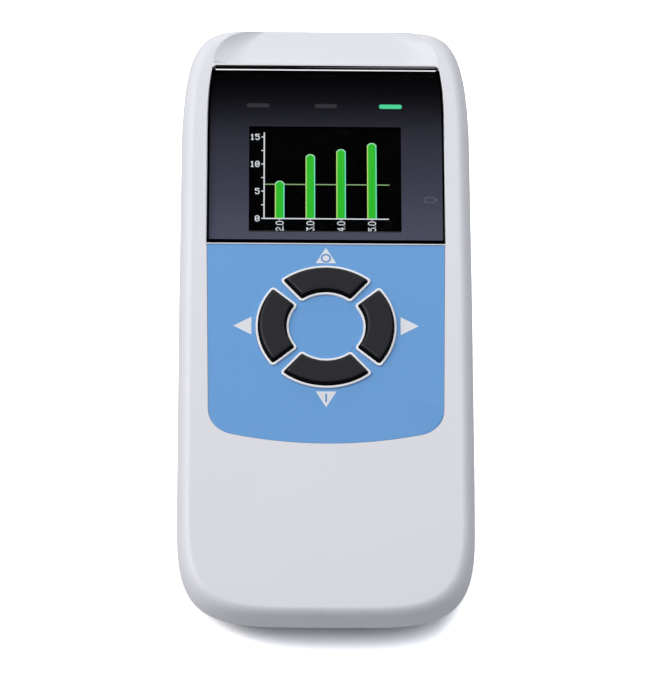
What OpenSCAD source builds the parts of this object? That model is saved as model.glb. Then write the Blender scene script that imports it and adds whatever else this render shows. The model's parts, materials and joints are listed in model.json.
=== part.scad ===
// Handheld audiometer: a two-shell casing with a smoked display window, a keypad of four
// rubber keys in a ring, a colour display, and a rechargeable battery behind a rear cover.
// X runs across the casing, Y along it towards the probe socket, and Z up through the front.
// The rear face lies on Z = 0, and the origin is below the middle of the casing.

/* [Casing] */
// Width of the casing at its widest
casing_w = 65; // [62:0.5:72]
// Length of the casing from the dock end to the probe end
casing_l = 151.5; // [146:0.5:162]
// Thickness of the casing, rear face to front plane
casing_t = 30; // [29:0.5:36]
// Wall of the front shell
front_wall = 2.2; // [2:0.1:2.6]
// Wall of the rear shell
rear_wall = 2.2; // [1.8:0.1:2.6]
// How far the front edge rounds inwards along the sides
edge_run = 3; // [1.5:0.1:3.4]
// How far the front edge rounds inwards at the dock end
dock_end_run = 2.3; // [1.5:0.1:3]
// How far the front edge rounds inwards at the probe end
probe_end_run = 4; // [1.5:0.1:4.5]
// How far the front edge rounds down
edge_drop = 5; // [4:0.1:5.5]
// Radius along the edge of the rear face
rear_edge_r = 7; // [5:0.5:9]
// How far the rear shell leans in at the dock end
dock_end_lean = 14.5; // [12:0.5:16]
// How far the rear shell leans in at the sides and the probe end
side_lean = 3; // [1:0.5:4]

/* [Window] */
// Width of the strip of casing beside the window and the keypad label
rail_w = 6; // [5.5:0.1:7]
// Distance from the probe end to the window's upper edge
window_from_end = 11.35; // [10:0.05:13]
// Distance from the key ring's centre to the lower edge of the window
window_start = 21.75; // [21:0.05:23]
// Distance from the status lights to the window's upper edge
lights_from_window_end = 10.05; // [9.5:0.05:12]
// Thickness of the window
window_t = 2.2; // [1.8:0.1:2.4]
// How far the window stands out of the front plane
window_proud = 0.8; // [0.5:0.1:1]
// Reach of the bevel along the window's top edge
window_bevel = 1.5; // [1:0.1:2]

/* [Display] */
// Width of the lit area of the display
screen_w = 33.6; // [30:0.2:34]
// Height of the lit area of the display
screen_h = 27; // [24:0.2:27.4]
// Distance from the window's lower edge to the lit area
screen_up = 3.75; // [3:0.05:4.5]
// Distance from the lit area to the status lights
light_above_screen = 5.6; // [5.2:0.1:6.5]
// Thickness of the display panel
panel_t = 1.8; // [1.4:0.1:2.2]

/* [Keys] */
// Outer radius of the raised lips round the keys
ring_outer_r = 15.55; // [15:0.05:16.5]
// Inner radius of the raised lips round the keys
ring_inner_r = 8.25; // [7.5:0.05:9]
// Half the angle that one lip spans
lip_half_angle = 40.8; // [36:0.2:41.6]
// Width of a lip
lip_w = 0.45; // [0.4:0.05:0.8]
// Height of a lip above the front plane
lip_proud = 0.35; // [0.1:0.05:0.6]
// Height of a key above the front plane
key_proud = 1.5; // [1.3:0.1:2.5]
// Travel of a key
key_travel = 0.9; // [0.6:0.1:1.2]
// Thickness of the keypad label
label_t = 0.4; // [0.3:0.05:0.5]

/* [Battery] */
// Width of the battery pack
battery_w = 36; // [30:0.5:36]
// Length of the battery pack
battery_l = 49; // [44:0.5:49]
// Thickness of the battery pack
battery_t = 9.4; // [7:0.2:9.6]

/* [Sockets] */
// Bore radius of the probe socket
probe_bore_r = 4.6; // [4:0.1:5]
// Distance from the seam between the shells down to the probe socket's axis
probe_below_seam = 11.5; // [11:0.5:12.5]
// Width of the dock socket's mouth
dock_mouth_w = 15; // [12:0.5:16]
// Height of the dock socket's mouth
dock_mouth_h = 5; // [4.6:0.1:5.4]

/* [Hidden] */

// Colours, as the photograph shows them where they show
white_abs = [0.90, 0.90, 0.93];
smoked = [0.10, 0.10, 0.13];
label_blue = [0.42, 0.63, 0.85];
key_black = [0.13, 0.13, 0.15];
silicone_grey = [0.55, 0.56, 0.58];
board_green = [0.08, 0.35, 0.18];
gold = [0.83, 0.68, 0.30];
steel = [0.72, 0.73, 0.75];
clear_plastic = [0.85, 0.90, 0.88];
dark_plastic = [0.16, 0.16, 0.17];
battery_silver = [0.62, 0.64, 0.68];

// Fine overshoot that lets a cut run past a face, and the clearances that fits share
over = 1;
slip = 0.15;
seam_step = 0.2;
press_gap = 0.02;
pin_gap = 0.05;

// Corners of the casing's outline: reach along X and Y, and the power of the superellipse
probe_corner = [24.5, 71.5, 6.4];
dock_corner = [32.4, 34, 4.5];
dock_corner_share = 0.6;
corner_steps = 20;
hollow_steps = 8;
edge_steps = 10;

// Heights through the stack, counted down from the front plane
front_z = casing_t;
belt_h = 0.5;
split_z = front_z - edge_drop - belt_h;
probe_z = split_z - probe_below_seam;
front_inner_z = front_z - front_wall;
window_seat_z = front_z + window_proud - window_t;
label_sunk = 0.1;
label_floor_z = front_z - label_t - label_sunk;
board_t = 1.6;
board_depth = 8;
board_top_z = front_z - board_depth;
board_z = board_top_z - board_t;

// Places along the casing
dock_end_y = -casing_l / 2;
probe_end_y = casing_l / 2;
window_y1 = probe_end_y - window_from_end;
window_h = screen_up + screen_h + light_above_screen + lights_from_window_end;
window_y0 = window_y1 - window_h;
ring_y = window_y0 - window_start;
rib_w = 0.45;
label_drop = 29.3;
label_y1 = window_y0 - slip - rib_w;
label_y0 = ring_y - label_drop;
half_window = casing_w / 2 - rail_w;
screen_y = window_y0 + screen_up + screen_h / 2;

// Inside of the front shell
edge_wall = 0.7;
inner_inset = edge_run + edge_wall;
rebate_inset = 2;
lip_h = 1.4;
lip_t = 1;
lip_root = 0.6;

// Scoop above the window
rim_w = 0.5;
scoop_y0 = window_y1 + slip + rim_w;
scoop_run = probe_end_y - scoop_y0;
scoop_start_depth = 1.5;
scoop_end_depth = 2.6;
scoop_start_side_w = 7;
scoop_end_side_w = 4.5;
scoop_side_power = 1.5;
scoop_narrowing = 8.4;
scoop_power = 2.4;
scoop_side_gap = 1.2;
scoop_half_w = half_window - scoop_side_gap;

// Keys
key_angles = [0, 180, 90, -90];
lip_corner_r = 0.8;
key_corner_min = 0.5;
key_gap = 0.15;
key_mid_r = (ring_outer_r + ring_inner_r) / 2;
key_shoulder_below_lip = 0.15;
key_shoulder_z = front_z + lip_proud - key_shoulder_below_lip;
key_top_z = front_z + key_proud;
key_wall_in = 0.35;
key_crown = 0.4;
key_crown_in = 0.4;
flange_t = 1;
flange_out = 0.4;
flange_gap = 0.2;
flange_top_z = front_inner_z - flange_gap;
plunger_r = 2.4;
collar_r = 3.4;
pill_r = 2.2;
pill_t = 0.6;
pad_t = 0.1;
pad_r = 2.6;
closed_gap = 0.1;
pill_z = board_top_z + pad_t + closed_gap + key_travel;
mat_t = 1;
mat_margin = 5;
mat_r = ring_outer_r + mat_margin;
mat_hole_r = 3.4;
mat_top_z = board_top_z + mat_t;
collar_h = 1.2;
skirt_top_z = flange_top_z - flange_t - collar_h;
skirt_base_r = 4.4;
skirt_wall = 0.7;

// Display stack
gasket_t = 0.5;
gasket_rim = 1.6;
panel_side = 2.4;
panel_w = screen_w + 2 * panel_side;
panel_end = 2;
panel_h = screen_h + 2 * panel_end;
panel_gap = 0.3;
panel_top_z = window_seat_z - gasket_t;
panel_z = panel_top_z - panel_t;
carrier_wall = 1.7;
carrier_lap = 1;
carrier_w = panel_w + 2 * (carrier_wall - carrier_lap);
carrier_h = panel_h + 2 * (carrier_wall - carrier_lap);
flex_w = 12;
flex_side_gap = 0.5;
flex_t = 0.2;
fpc_h = 1.5;
fpc_l = 4;

// Status lights behind the window
light_pitch = 15;
light_y = screen_y + screen_h / 2 + light_above_screen;
light_xs = [-light_pitch, 0, light_pitch];
light_w = 6;
light_h = 1.8;
charge_from_window_start = 11.55;
charge_light = [(carrier_w / 2 + half_window) / 2, window_y0 + charge_from_window_start];
charge_r = 1.1;
led_t = 0.7;
led_size = [1.6, 1];
guide_gap = 0.15;
guide_side_gap = 0.1;
guide_sunk = 0.05;
guide_top_z = window_seat_z - guide_sunk;

// Main board
board_from_side = 5.5;
board_from_dock_end = 14;
board_from_probe_end = 16;
board_half_w = casing_w / 2 - board_from_side;
board_y0 = dock_end_y + board_from_dock_end;
board_y1 = probe_end_y - board_from_probe_end;
board_corner_r = 5;

// Fasteners
case_screw_r = 1.45;
case_screw_hole_r = 1.7;
case_screw_head_r = 2.8;
case_screw_head_t = 2.4;
case_screw_head_gap = 0.25;
case_screw_from_side = 13.5;
case_screw_from_dock_end = 25.5;
case_screw_from_probe_end = 15;
case_screw_x = casing_w / 2 - case_screw_from_side;
case_screw_dock_y = dock_end_y + case_screw_from_dock_end;
case_screw_probe_y = probe_end_y - case_screw_from_probe_end;
case_screw_seat_z = 9;
case_screw_grip = 4.6;
case_pilot_l = case_screw_grip + 0.6;
case_boss_r = 3;
tower_r = 3.8;
pilot_gap = 0.05;
board_screw_r = 0.95;
board_screw_gap = 0.15;
board_screw_grip = 3.8;
board_pilot_l = board_screw_grip + 0.4;
board_screw_head_r = 1.8;
board_screw_head_t = 1.2;
board_screw_from_side = 8;
board_screw_x = casing_w / 2 - board_screw_from_side;
board_screw_below_ring = 25;
board_screw_above_ring = 13;
board_screw_ys = [ring_y - board_screw_below_ring, ring_y + board_screw_above_ring];
board_boss_r = 2.6;
post_sunk = 0.2;
mat_post_r = 3;
mat_ring_in = 0.6;
mat_ring_wall = 1.3;

// Battery bay, open to the rear, and its cover
bay_gap = 0.5;
bay_wall = 1.5;
bay_corner_r = 0.5;
bay_from_dock_end = 33;
bay_lead_room = 3;
bay_headroom = 0.6;
bay_half_w = battery_w / 2 + bay_gap;
bay_y0 = dock_end_y + bay_from_dock_end;
bay_y1 = bay_y0 + battery_l + bay_lead_room;
battery_end_gap = 0.3;
cover_t = 1.8;
cover_sunk = 0.2;
cover_seat_z = cover_sunk + cover_t;
bay_top_z = cover_seat_z + battery_t + bay_headroom;
cover_lap = 2.5;
cover_tab_lap = 3;
cover_screw_lap = 9;
cover_half_w = bay_half_w + cover_lap;
cover_y0 = bay_y0 - cover_tab_lap;
cover_y1 = bay_y1 + cover_screw_lap;
cover_corner_r = 3;
ledge_t = 1.8;
ledge_w = 1;
cover_screw_from_bay = 5;
cover_screw_y = bay_y1 + cover_screw_from_bay;
cover_screw_r = 1.2;
cover_screw_l = 5.2;
cover_screw_gap = 0.2;
cover_boss_r = 2.8;
cover_boss_h = 7;
cover_pilot_l = cover_screw_l + 0.2;
cover_head_r = 2.4;
cover_head_t = 1.2;
tab_w = 7;
tab_reach = 1.6;
tab_t = 1.2;
tab_gap = 0.1;
tab_from_side = 8.3;
tab_x = bay_half_w - tab_from_side;

// Probe socket at the probe end
probe_flange_w = 2.6;
probe_wall = 0.9;
probe_flange_sunk = 2.9;
probe_flange_r = probe_bore_r + probe_flange_w;
probe_flange_t = 1.4;
probe_barrel_r = probe_bore_r + probe_wall;
probe_flange_y = probe_end_y - probe_flange_sunk;
probe_bore_l = 6;
probe_insert_l = 6;
probe_shoulder = 0.4;
probe_insert_r = probe_bore_r - probe_shoulder;
probe_nut_wall = 1.7;
probe_nut_af = 2 * (probe_barrel_r + probe_nut_wall);
probe_nut_t = 2.4;
probe_pad_t = 3.6;
probe_pad_margin = 1.4;
probe_pad_r = probe_flange_r + probe_pad_margin;
probe_pin_r = 0.45;
probe_pins = 8;
probe_pin_bore_l = 3.4;
probe_pin_sunk = 0.2;
probe_pin_inset = 1.6;
probe_pin_ring = probe_insert_r - probe_pin_inset;
probe_tail_l = 1.6;
ribbon_t = 1.2;
ribbon_w = 8;
ribbon_bend = 2;

// Dock socket at the dock end
dock_shell_t = 1;
dock_z = 14;
dock_mouth_sunk = 9.5;
dock_mouth_y = dock_end_y + dock_mouth_sunk;
dock_cavity_l = 6.4;
dock_back_l = 2.6;
dock_recess_side = 2;
dock_block_wall = 2.4;
dock_contact_t = 0.2;
dock_slip = 0.1;
dock_block_end = 3.5;

// ---------- outlines and lofts ----------

function signed_power(v, p) = sign(v) * pow(abs(v), p);

// The point of a superellipse corner where its surface faces the angle a
function corner_point(size, a) =
    let (
        q = size[2] / (2 * size[2] - 2),
        u = pow(size[1] * abs(sin(a)), q),
        v = pow(size[0] * abs(cos(a)), q),
        c = sign(cos(a)) * v / norm([u, v]),
        s = sign(sin(a)) * u / norm([u, v])
    )
    [size[0] * signed_power(c, 2 / size[2]), size[1] * signed_power(s, 2 / size[2])];

// Points of one corner as its surface turns from angle a0 to a1, closer together near both ends
function corner_points(cx, cy, size, a0, a1, steps = corner_steps, crowding = 0) = [
    for (i = [0 : steps])
        let (t = i / steps - crowding * sin(360 * i / steps) / 360)
        [cx, cy] + corner_point(size, a0 + (a1 - a0) * t)
];

// The casing's outline drawn in by so much at the sides, the probe end and the dock end
outline_crowding = 36;
function casing_outline(side, probe, dock, steps = corner_steps) =
    let (
        k = outline_crowding,
        half_w = casing_w / 2 - side,
        y1 = probe_end_y - probe,
        y0 = dock_end_y + dock,
        top = [probe_corner[0] - side, probe_corner[1] - probe, probe_corner[2]],
        low = [dock_corner[0] - side, dock_corner[1] - dock * dock_corner_share, dock_corner[2]]
    )
    concat(
        corner_points(half_w - low[0], y0 + low[1], low, -90, 0, steps, k),
        corner_points(half_w - top[0], y1 - top[1], top, 0, 90, steps, k),
        corner_points(-half_w + top[0], y1 - top[1], top, 90, 180, steps, k),
        corner_points(-half_w + low[0], y0 + low[1], low, 180, 270, steps, k)
    );

function inset_outline(d) = casing_outline(d, d, d);

function rounded_rect(half_w, y0, y1, r, steps = 6) = concat(
    corner_points(half_w - r, y0 + r, [r, r, 2], -90, 0, steps),
    corner_points(half_w - r, y1 - r, [r, r, 2], 0, 90, steps),
    corner_points(-half_w + r, y1 - r, [r, r, 2], 90, 180, steps),
    corner_points(-half_w + r, y0 + r, [r, r, 2], 180, 270, steps)
);

// A solid skinned over outlines of equal length, given as [height, outline] from low to high.
// Each outline runs so that its first point faces its last across the shape, and so inwards.
module loft(levels) {
    n = len(levels[0][1]);
    last = len(levels) - 1;
    points = [for (level = levels) for (p = level[1]) [p[0], p[1], level[0]]];
    sides = [
        for (k = [0 : last - 1]) for (i = [0 : n - 1])
            let (j = (i + 1) % n, a = k * n, b = a + n)
            each [[a + i, b + i, b + j], [a + i, b + j, a + j]]
    ];
    caps = [
        for (i = [0 : n / 2 - 2])
            let (j = n - 1 - i, top = last * n)
            each [[i, i + 1, j - 1, j], [top + j, top + j - 1, top + i + 1, top + i]]
    ];
    polyhedron(points, concat(caps, sides), convexity = 8);
}

module prism(outline, z0, z1) {
    translate([0, 0, z0]) linear_extrude(z1 - z0) polygon(outline);
}

module at_ring() {
    translate([0, ring_y, 0]) children();
}

module at_key(angle) {
    at_ring() rotate([0, 0, -angle]) children();
}

module at_case_screws() {
    for (x = [-case_screw_x, case_screw_x], y = [case_screw_dock_y, case_screw_probe_y])
        translate([x, y, 0]) children();
}

module at_board_screws() {
    for (x = [-board_screw_x, board_screw_x], y = board_screw_ys)
        translate([x, y, 0]) children();
}

// ---------- casing ----------

// Half width of the window, which follows the casing as it narrows towards the probe end
window_curve_start = 30;
window_curve_run = 24;
window_curve_in = 5;
window_curve_power = 2.6;
function window_half_w(y) =
    let (t = max(0, (y - probe_end_y + window_curve_start) / window_curve_run))
    half_window - window_curve_in
        * (1 - pow(max(0, 1 - pow(t, window_curve_power)), 1 / window_curve_power));

window_steps = 16;
window_corner_cut = 0.6;
window_side_bevel = 0.25;

// The window's outline grown by e, from its lower edge up to y1
function window_outline(e, y0, y1) =
    let (
        cut = window_corner_cut,
        ys = [for (i = [0 : window_steps]) y0 + (y1 - cut - y0) * i / window_steps],
        right = [for (y = ys) [window_half_w(y) + e, y]]
    )
    concat(
        right,
        [[window_half_w(y1) + e - cut, y1], [-window_half_w(y1) - e + cut, y1]],
        [for (i = [window_steps : -1 : 0]) [-right[i][0], right[i][1]]]
    );

// The label's outline grown by e: sides that lean in a little, round corners and a bowed lower edge
label_taper = 0.6;
label_corner_r = 6.3;
label_bow_r = 96;
label_side_gap = 0.15;
label_steps = 10;
label_lip_gap = 0.08;
function label_outline(e) =
    let (
        high_w = half_window - label_side_gap + e,
        low_w = high_w - label_taper,
        c = label_corner_r + e,
        bow_r = label_bow_r + e,
        bow_y = label_y0 - e + bow_r,
        corner_y = bow_y - sqrt(pow(bow_r - c, 2) - pow(low_w - c, 2)),
        bow_a = asin((low_w - c) / (bow_r - c)),
        bow = [for (i = [-label_steps : label_steps])
            [0, bow_y] + bow_r * [sin(bow_a * i / label_steps), -cos(bow_a * i / label_steps)]],
        corner = [for (i = [1 : label_steps])
            let (a = -90 + bow_a + (90 - bow_a) * i / label_steps)
            [low_w - c, corner_y] + c * [cos(a), sin(a)]]
    )
    concat(
        bow,
        corner,
        [[high_w, label_y1 + e], [-high_w, label_y1 + e]],
        [for (i = [label_steps - 1 : -1 : 0]) [-corner[i][0], corner[i][1]]]
    );

// Outline of a key's lip grown by e: a ring sector with rounded corners, about +Y
key_corner_steps = 7;
key_arc_steps = 16;
function key_outline(e, steps = key_corner_steps, arc_steps = key_arc_steps) =
    let (
        c = max(key_corner_min, lip_corner_r + e),
        out_r = ring_outer_r + e - c,
        in_r = ring_inner_r - e + c,
        out_a = lip_half_angle - asin((c - e) / out_r),
        in_a = lip_half_angle - asin((c - e) / in_r)
    )
    concat(
        sector_corner(out_r, 90 - out_a, c, -lip_half_angle, 90 - out_a, steps),
        [for (i = [1 : arc_steps - 1])
            let (a = 90 - out_a + 2 * out_a * i / arc_steps)
            (ring_outer_r + e) * [cos(a), sin(a)]],
        sector_corner(out_r, 90 + out_a, c, 90 + out_a, 180 + lip_half_angle, steps),
        sector_corner(in_r, 90 + in_a, c, 180 + lip_half_angle, 270 + in_a, steps),
        [for (i = [1 : arc_steps - 1])
            let (a = 90 + in_a - 2 * in_a * i / arc_steps)
            (ring_inner_r - e) * [cos(a), sin(a)]],
        sector_corner(in_r, 90 - in_a, c, 270 - in_a, 360 - lip_half_angle, steps)
    );

// Round corner of radius c about the point at radius r and angle p, from angle a0 to a1
function sector_corner(r, p, c, a0, a1, steps) = [
    for (i = [0 : steps])
        let (a = a0 + (a1 - a0) * i / steps)
        r * [cos(p), sin(p)] + c * [cos(a), sin(a)]
];

module front_skin() {
    loft(concat(
        [[split_z, inset_outline(0)]],
        [for (i = [0 : edge_steps])
            let (
                turn = 90 * i / edge_steps,
                a = i == edge_steps ? 90 : atan(edge_drop / edge_run * tan(turn)),
                share = 1 - cos(a)
            )
            [split_z + belt_h + edge_drop * sin(a),
                casing_outline(edge_run * share, probe_end_run * share, dock_end_run * share)]]
    ));
}

// The trough above the window: level across its middle, rising to the rails at its sides
module scoop_cut() {
    steps = 8;
    side_steps = 8;
    top_z = front_z + 3 * over;
    run = scoop_run + 4 * over;
    sections = [
        for (i = [0 : steps])
            let (
                y = scoop_y0 + run * i / steps,
                t = (y - scoop_y0) / scoop_run,
                depth = scoop_start_depth + (scoop_end_depth - scoop_start_depth) * t,
                side_w = scoop_start_side_w + (scoop_end_side_w - scoop_start_side_w) * t,
                half_w = scoop_half_w - scoop_narrowing * pow(t, scoop_power),
                right = [for (k = [0 : side_steps])
                    let (s = k / side_steps)
                    [half_w - side_w * (1 - s),
                        front_z - depth * (1 - pow(s, scoop_side_power))]]
            )
            [y, concat(
                right,
                [[half_w, top_z], [-half_w, top_z]],
                [for (k = [side_steps : -1 : 0]) [-right[k][0], right[k][1]]]
            )]
    ];
    mirror([0, 1, 0]) rotate([90, 0, 0]) loft(sections);
}

// Hollow under the scoop, a wall's thickness below it
scoop_hollow_margin = 1;
scoop_hollow_lap = 1.5;
module scoop_hollow() {
    half_w = scoop_half_w - scoop_narrowing - scoop_hollow_margin;
    y0 = window_y1 - scoop_hollow_lap;
    y1 = probe_end_y - inner_inset;
    drop = (scoop_end_depth - scoop_start_depth) / scoop_run;
    function roof(y) = front_inner_z - scoop_start_depth - drop * max(0, y - scoop_y0);
    rotate([90, 0, 90]) translate([0, 0, -half_w]) linear_extrude(2 * half_w) polygon([
        [y0, split_z - over], [y1, split_z - over], [y1, roof(y1)],
        [scoop_y0, roof(scoop_y0)], [y0, roof(scoop_y0)]
    ]);
}

// The main hollow of the front shell stops short of the scoop
module front_hollow() {
    intersection() {
        prism(casing_outline(inner_inset, inner_inset, inner_inset, hollow_steps),
            split_z - over, front_inner_z);
        translate([-casing_w, dock_end_y, 0])
            cube([2 * casing_w, window_y1 - scoop_hollow_margin - dock_end_y, 2 * casing_t]);
    }
    prism(inset_outline(rebate_inset), split_z - over, split_z + lip_h + slip);
    scoop_hollow();
}

module front_posts() {
    post_h = front_inner_z - board_top_z + post_sunk;
    mat_post_h = front_inner_z - mat_top_z + post_sunk;
    at_case_screws() translate([0, 0, board_top_z]) cylinder(h = post_h, r = case_boss_r, $fn = 40);
    at_board_screws() translate([0, 0, board_top_z]) cylinder(h = post_h, r = board_boss_r, $fn = 40);
    // Ring and middle post that hold the keypad mat down on the board
    at_ring() translate([0, 0, mat_top_z]) {
        difference() {
            cylinder(h = mat_post_h, r = mat_r - mat_ring_in, $fn = 96);
            translate([0, 0, -over])
                cylinder(h = casing_t, r = mat_r - mat_ring_in - mat_ring_wall, $fn = 96);
        }
        cylinder(h = mat_post_h, r = mat_post_r, $fn = 40);
    }
}

module front_housing() {
    color(white_abs) difference() {
        union() {
            difference() {
                front_skin();
                front_hollow();
            }
            front_posts();
        }
        scoop_cut();
        // Seat of the window, and the openings behind it
        prism(window_outline(slip, window_y0 - slip, window_y1 + slip), window_seat_z, front_z + over);
        prism(rounded_rect(panel_w / 2 + panel_gap, screen_y - panel_h / 2 - panel_gap,
            screen_y + panel_h / 2 + panel_gap, 1), front_inner_z - over, front_z);
        for (x = light_xs)
            translate([x - light_w / 2 - slip, light_y - light_h / 2 - slip, front_inner_z - over])
                cube([light_w + 2 * slip, light_h + 2 * slip, casing_t]);
        translate([charge_light[0], charge_light[1], front_inner_z - over])
            cylinder(h = casing_t, r = charge_r + slip, $fn = 32);
        // Seat of the label, left standing as a lip round each key
        difference() {
            prism(label_outline(slip), label_floor_z, front_z + over);
            for (a = key_angles) at_key(a) prism(key_outline(0), 0, front_z + 2 * over);
        }
        for (a = key_angles) at_key(a) prism(key_outline(-lip_w), front_inner_z - over, front_z + 3 * over);
        at_case_screws()
            translate([0, 0, board_top_z - over])
                cylinder(h = case_pilot_l + over, r = case_screw_r + pilot_gap, $fn = 32);
        at_board_screws()
            translate([0, 0, board_top_z - over])
                cylinder(h = board_pilot_l + over, r = board_screw_r + pilot_gap, $fn = 32);
    }
    color(white_abs) key_lips();
}

// The part of the lips that stands out of the front plane
module key_lips() {
    for (a = key_angles) at_key(a) difference() {
        prism(key_outline(0), front_z, front_z + lip_proud);
        prism(key_outline(-lip_w), front_z - over, front_z + over);
    }
}

// How far the rear shell has drawn in at height z, for a lean of so much over its depth
function rear_inset(z, lean) =
    let (k = max(0, rear_edge_r - z))
    seam_step + lean * (split_z - z) / split_z
        + rear_edge_r - sqrt(max(0, rear_edge_r * rear_edge_r - k * k));

function rear_outline(z, d, steps = corner_steps) = casing_outline(
    rear_inset(z, side_lean) + d, rear_inset(z, side_lean) + d, rear_inset(z, dock_end_lean) + d, steps);

rear_steps = 9;
rear_levels = [
    for (i = [0 : rear_steps]) rear_edge_r * (1 - cos(90 * i / rear_steps)),
    split_z
];
rear_hollow_steps = 3;

module rear_skin() {
    loft([for (z = rear_levels) [z, rear_outline(z, 0)]]);
}

module rear_hollow() {
    curve_h = rear_edge_r - rear_wall;
    curve = [for (i = [0 : rear_hollow_steps]) rear_wall + curve_h * i / rear_hollow_steps];
    loft([for (z = concat(curve, [split_z]))
        [z == split_z ? z + over : z, rear_outline(z, rear_wall, hollow_steps)]]);
}

module rear_lip() {
    difference() {
        prism(inset_outline(rebate_inset + slip), split_z - lip_root, split_z + lip_h);
        prism(inset_outline(rebate_inset + slip + lip_t), split_z - over, split_z + lip_h + over);
    }
}

module bay_walls() {
    prism(rounded_rect(bay_half_w + bay_wall, bay_y0 - bay_wall, bay_y1 + bay_wall, bay_wall),
        rear_wall - post_sunk, bay_top_z + bay_wall);
    // Thicker floor that the cover seats against
    prism(rounded_rect(cover_half_w + ledge_w, cover_y0 - ledge_w, cover_y1 + ledge_w, cover_corner_r),
        rear_wall - post_sunk, cover_seat_z + ledge_t);
    translate([0, cover_screw_y, rear_wall - post_sunk])
        cylinder(h = cover_boss_h, r = cover_boss_r, $fn = 40);
}

module screw_towers() {
    at_case_screws() translate([0, 0, rear_wall - post_sunk])
        cylinder(h = board_z - rear_wall + post_sunk, r = tower_r, $fn = 48);
}

module probe_pad() {
    intersection() {
        rear_skin();
        translate([0, probe_flange_y - probe_pad_t, probe_z]) rotate([-90, 0, 0])
            cylinder(h = probe_pad_t + 2 * probe_flange_sunk, r = probe_pad_r, $fn = 64);
    }
}

module dock_block() {
    half_w = dock_mouth_w / 2 + dock_shell_t + dock_block_wall;
    half_h = dock_mouth_h / 2 + dock_shell_t + dock_block_wall;
    intersection() {
        rear_skin();
        translate([-half_w, dock_end_y, dock_z - half_h])
            cube([2 * half_w, dock_mouth_y - dock_end_y + dock_block_end, 2 * half_h]);
    }
}

module rear_housing() {
    color(white_abs) difference() {
        union() {
            difference() {
                rear_skin();
                rear_hollow();
            }
            rear_lip();
            bay_walls();
            screw_towers();
            probe_pad();
            dock_block();
        }
        // Battery bay, cover seat, tab pockets and the lead's way out
        prism(rounded_rect(bay_half_w, bay_y0, bay_y1, bay_corner_r), -over, bay_top_z);
        prism(rounded_rect(cover_half_w + slip, cover_y0 - slip, cover_y1 + slip, cover_corner_r),
            -over, cover_seat_z);
        for (x = [-tab_x, tab_x])
            translate([x - tab_w / 2 - slip, bay_y0 - tab_reach - slip, cover_seat_z - over])
                cube([tab_w + 2 * slip, tab_reach + over, tab_t + slip + over]);
        translate([0, cover_screw_y, cover_seat_z - over])
            cylinder(h = cover_pilot_l + over, r = cover_screw_r + pilot_gap, $fn = 32);
        translate([lead_x - lead_hole[0] / 2 + lead_pitch / 2, bay_y1 - lead_hole[1], bay_top_z - over])
            cube([lead_hole[0], lead_hole[1], bay_wall + 2 * over]);
        // Case screws
        at_case_screws() {
            translate([0, 0, -over])
                cylinder(h = case_screw_seat_z + over, r = case_screw_head_r + case_screw_head_gap, $fn = 48);
            cylinder(h = casing_t, r = case_screw_hole_r, $fn = 40);
        }
        // Probe socket: a flat round seat outside, and the hole for its barrel
        translate([0, probe_flange_y, probe_z]) rotate([-90, 0, 0])
            cylinder(h = 2 * probe_flange_sunk, r = probe_flange_r + 2 * slip, $fn = 64);
        translate([0, probe_flange_y - probe_pad_t - 2 * over, probe_z]) rotate([-90, 0, 0])
            cylinder(h = probe_pad_t + 3 * over, r = probe_barrel_r + dock_slip, $fn = 64);
        // Dock socket: a recess that the plug's body enters, and the hole for the socket
        recess_w = dock_mouth_w + 2 * dock_recess_side;
        recess_h = dock_mouth_h + 2 * dock_recess_side;
        translate([-recess_w / 2, dock_end_y - over, dock_z - recess_h / 2])
            cube([recess_w, dock_mouth_sunk + over, recess_h]);
        hole_w = dock_mouth_w + 2 * (dock_shell_t + dock_slip);
        hole_h = dock_mouth_h + 2 * (dock_shell_t + dock_slip);
        translate([-hole_w / 2, dock_end_y, dock_z - hole_h / 2])
            cube([hole_w, dock_mouth_sunk + dock_block_end + over, hole_h]);
    }
}

// ---------- window, label and keys ----------

module display_window() {
    crest_z = front_z + window_proud;
    crest_y = window_y1 - window_bevel;
    side = window_side_bevel;
    color(smoked) loft([
        [window_seat_z, window_outline(0, window_y0, window_y1)],
        [crest_z - window_bevel, window_outline(0, window_y0, window_y1)],
        [crest_z - side, window_outline(0, window_y0, crest_y + side)],
        [crest_z, window_outline(-2 * side, window_y0 + side, crest_y)]
    ]);
}

module keypad_label() {
    color(label_blue) difference() {
        prism(label_outline(0), label_floor_z, label_floor_z + label_t);
        for (a = key_angles)
            at_key(a) prism(key_outline(label_lip_gap), label_floor_z - over, front_z + over);
    }
}

// One key about +Y of the ring: flange and stem below, sloping walls and a low crown above
module key_cap() {
    stem_top_z = flange_top_z - flange_t / 2;
    color(key_black) {
        loft([
            [flange_top_z - flange_t, key_outline(flange_out)],
            [flange_top_z, key_outline(flange_out)],
            [flange_top_z, key_outline(-lip_w - key_gap)],
            [key_shoulder_z, key_outline(-lip_w - key_gap)],
            [key_top_z - key_crown, key_outline(-lip_w - key_gap - key_wall_in)],
            [key_top_z, key_outline(-lip_w - key_gap - key_wall_in - key_crown_in)]
        ]);
        translate([0, key_mid_r, skirt_top_z]) cylinder(h = stem_top_z - skirt_top_z, r = collar_r, $fn = 40);
        translate([0, key_mid_r, pill_z + pill_t])
            cylinder(h = stem_top_z - pill_z - pill_t, r = plunger_r, $fn = 40);
    }
}

module contact_pill() {
    color([0.05, 0.05, 0.05]) translate([0, key_mid_r, pill_z]) cylinder(h = pill_t, r = pill_r, $fn = 40);
}

// Thin cone of silicone between the mat and the key, which buckles as the key goes down
module key_skirt() {
    low_z = mat_top_z;
    high_z = skirt_top_z;
    in_r = plunger_r + slip;
    color(silicone_grey) translate([0, key_mid_r, 0]) rotate_extrude($fn = 48) polygon([
        [skirt_base_r - skirt_wall, low_z], [skirt_base_r, low_z], [in_r + skirt_wall, high_z], [in_r, high_z]
    ]);
}

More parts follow.
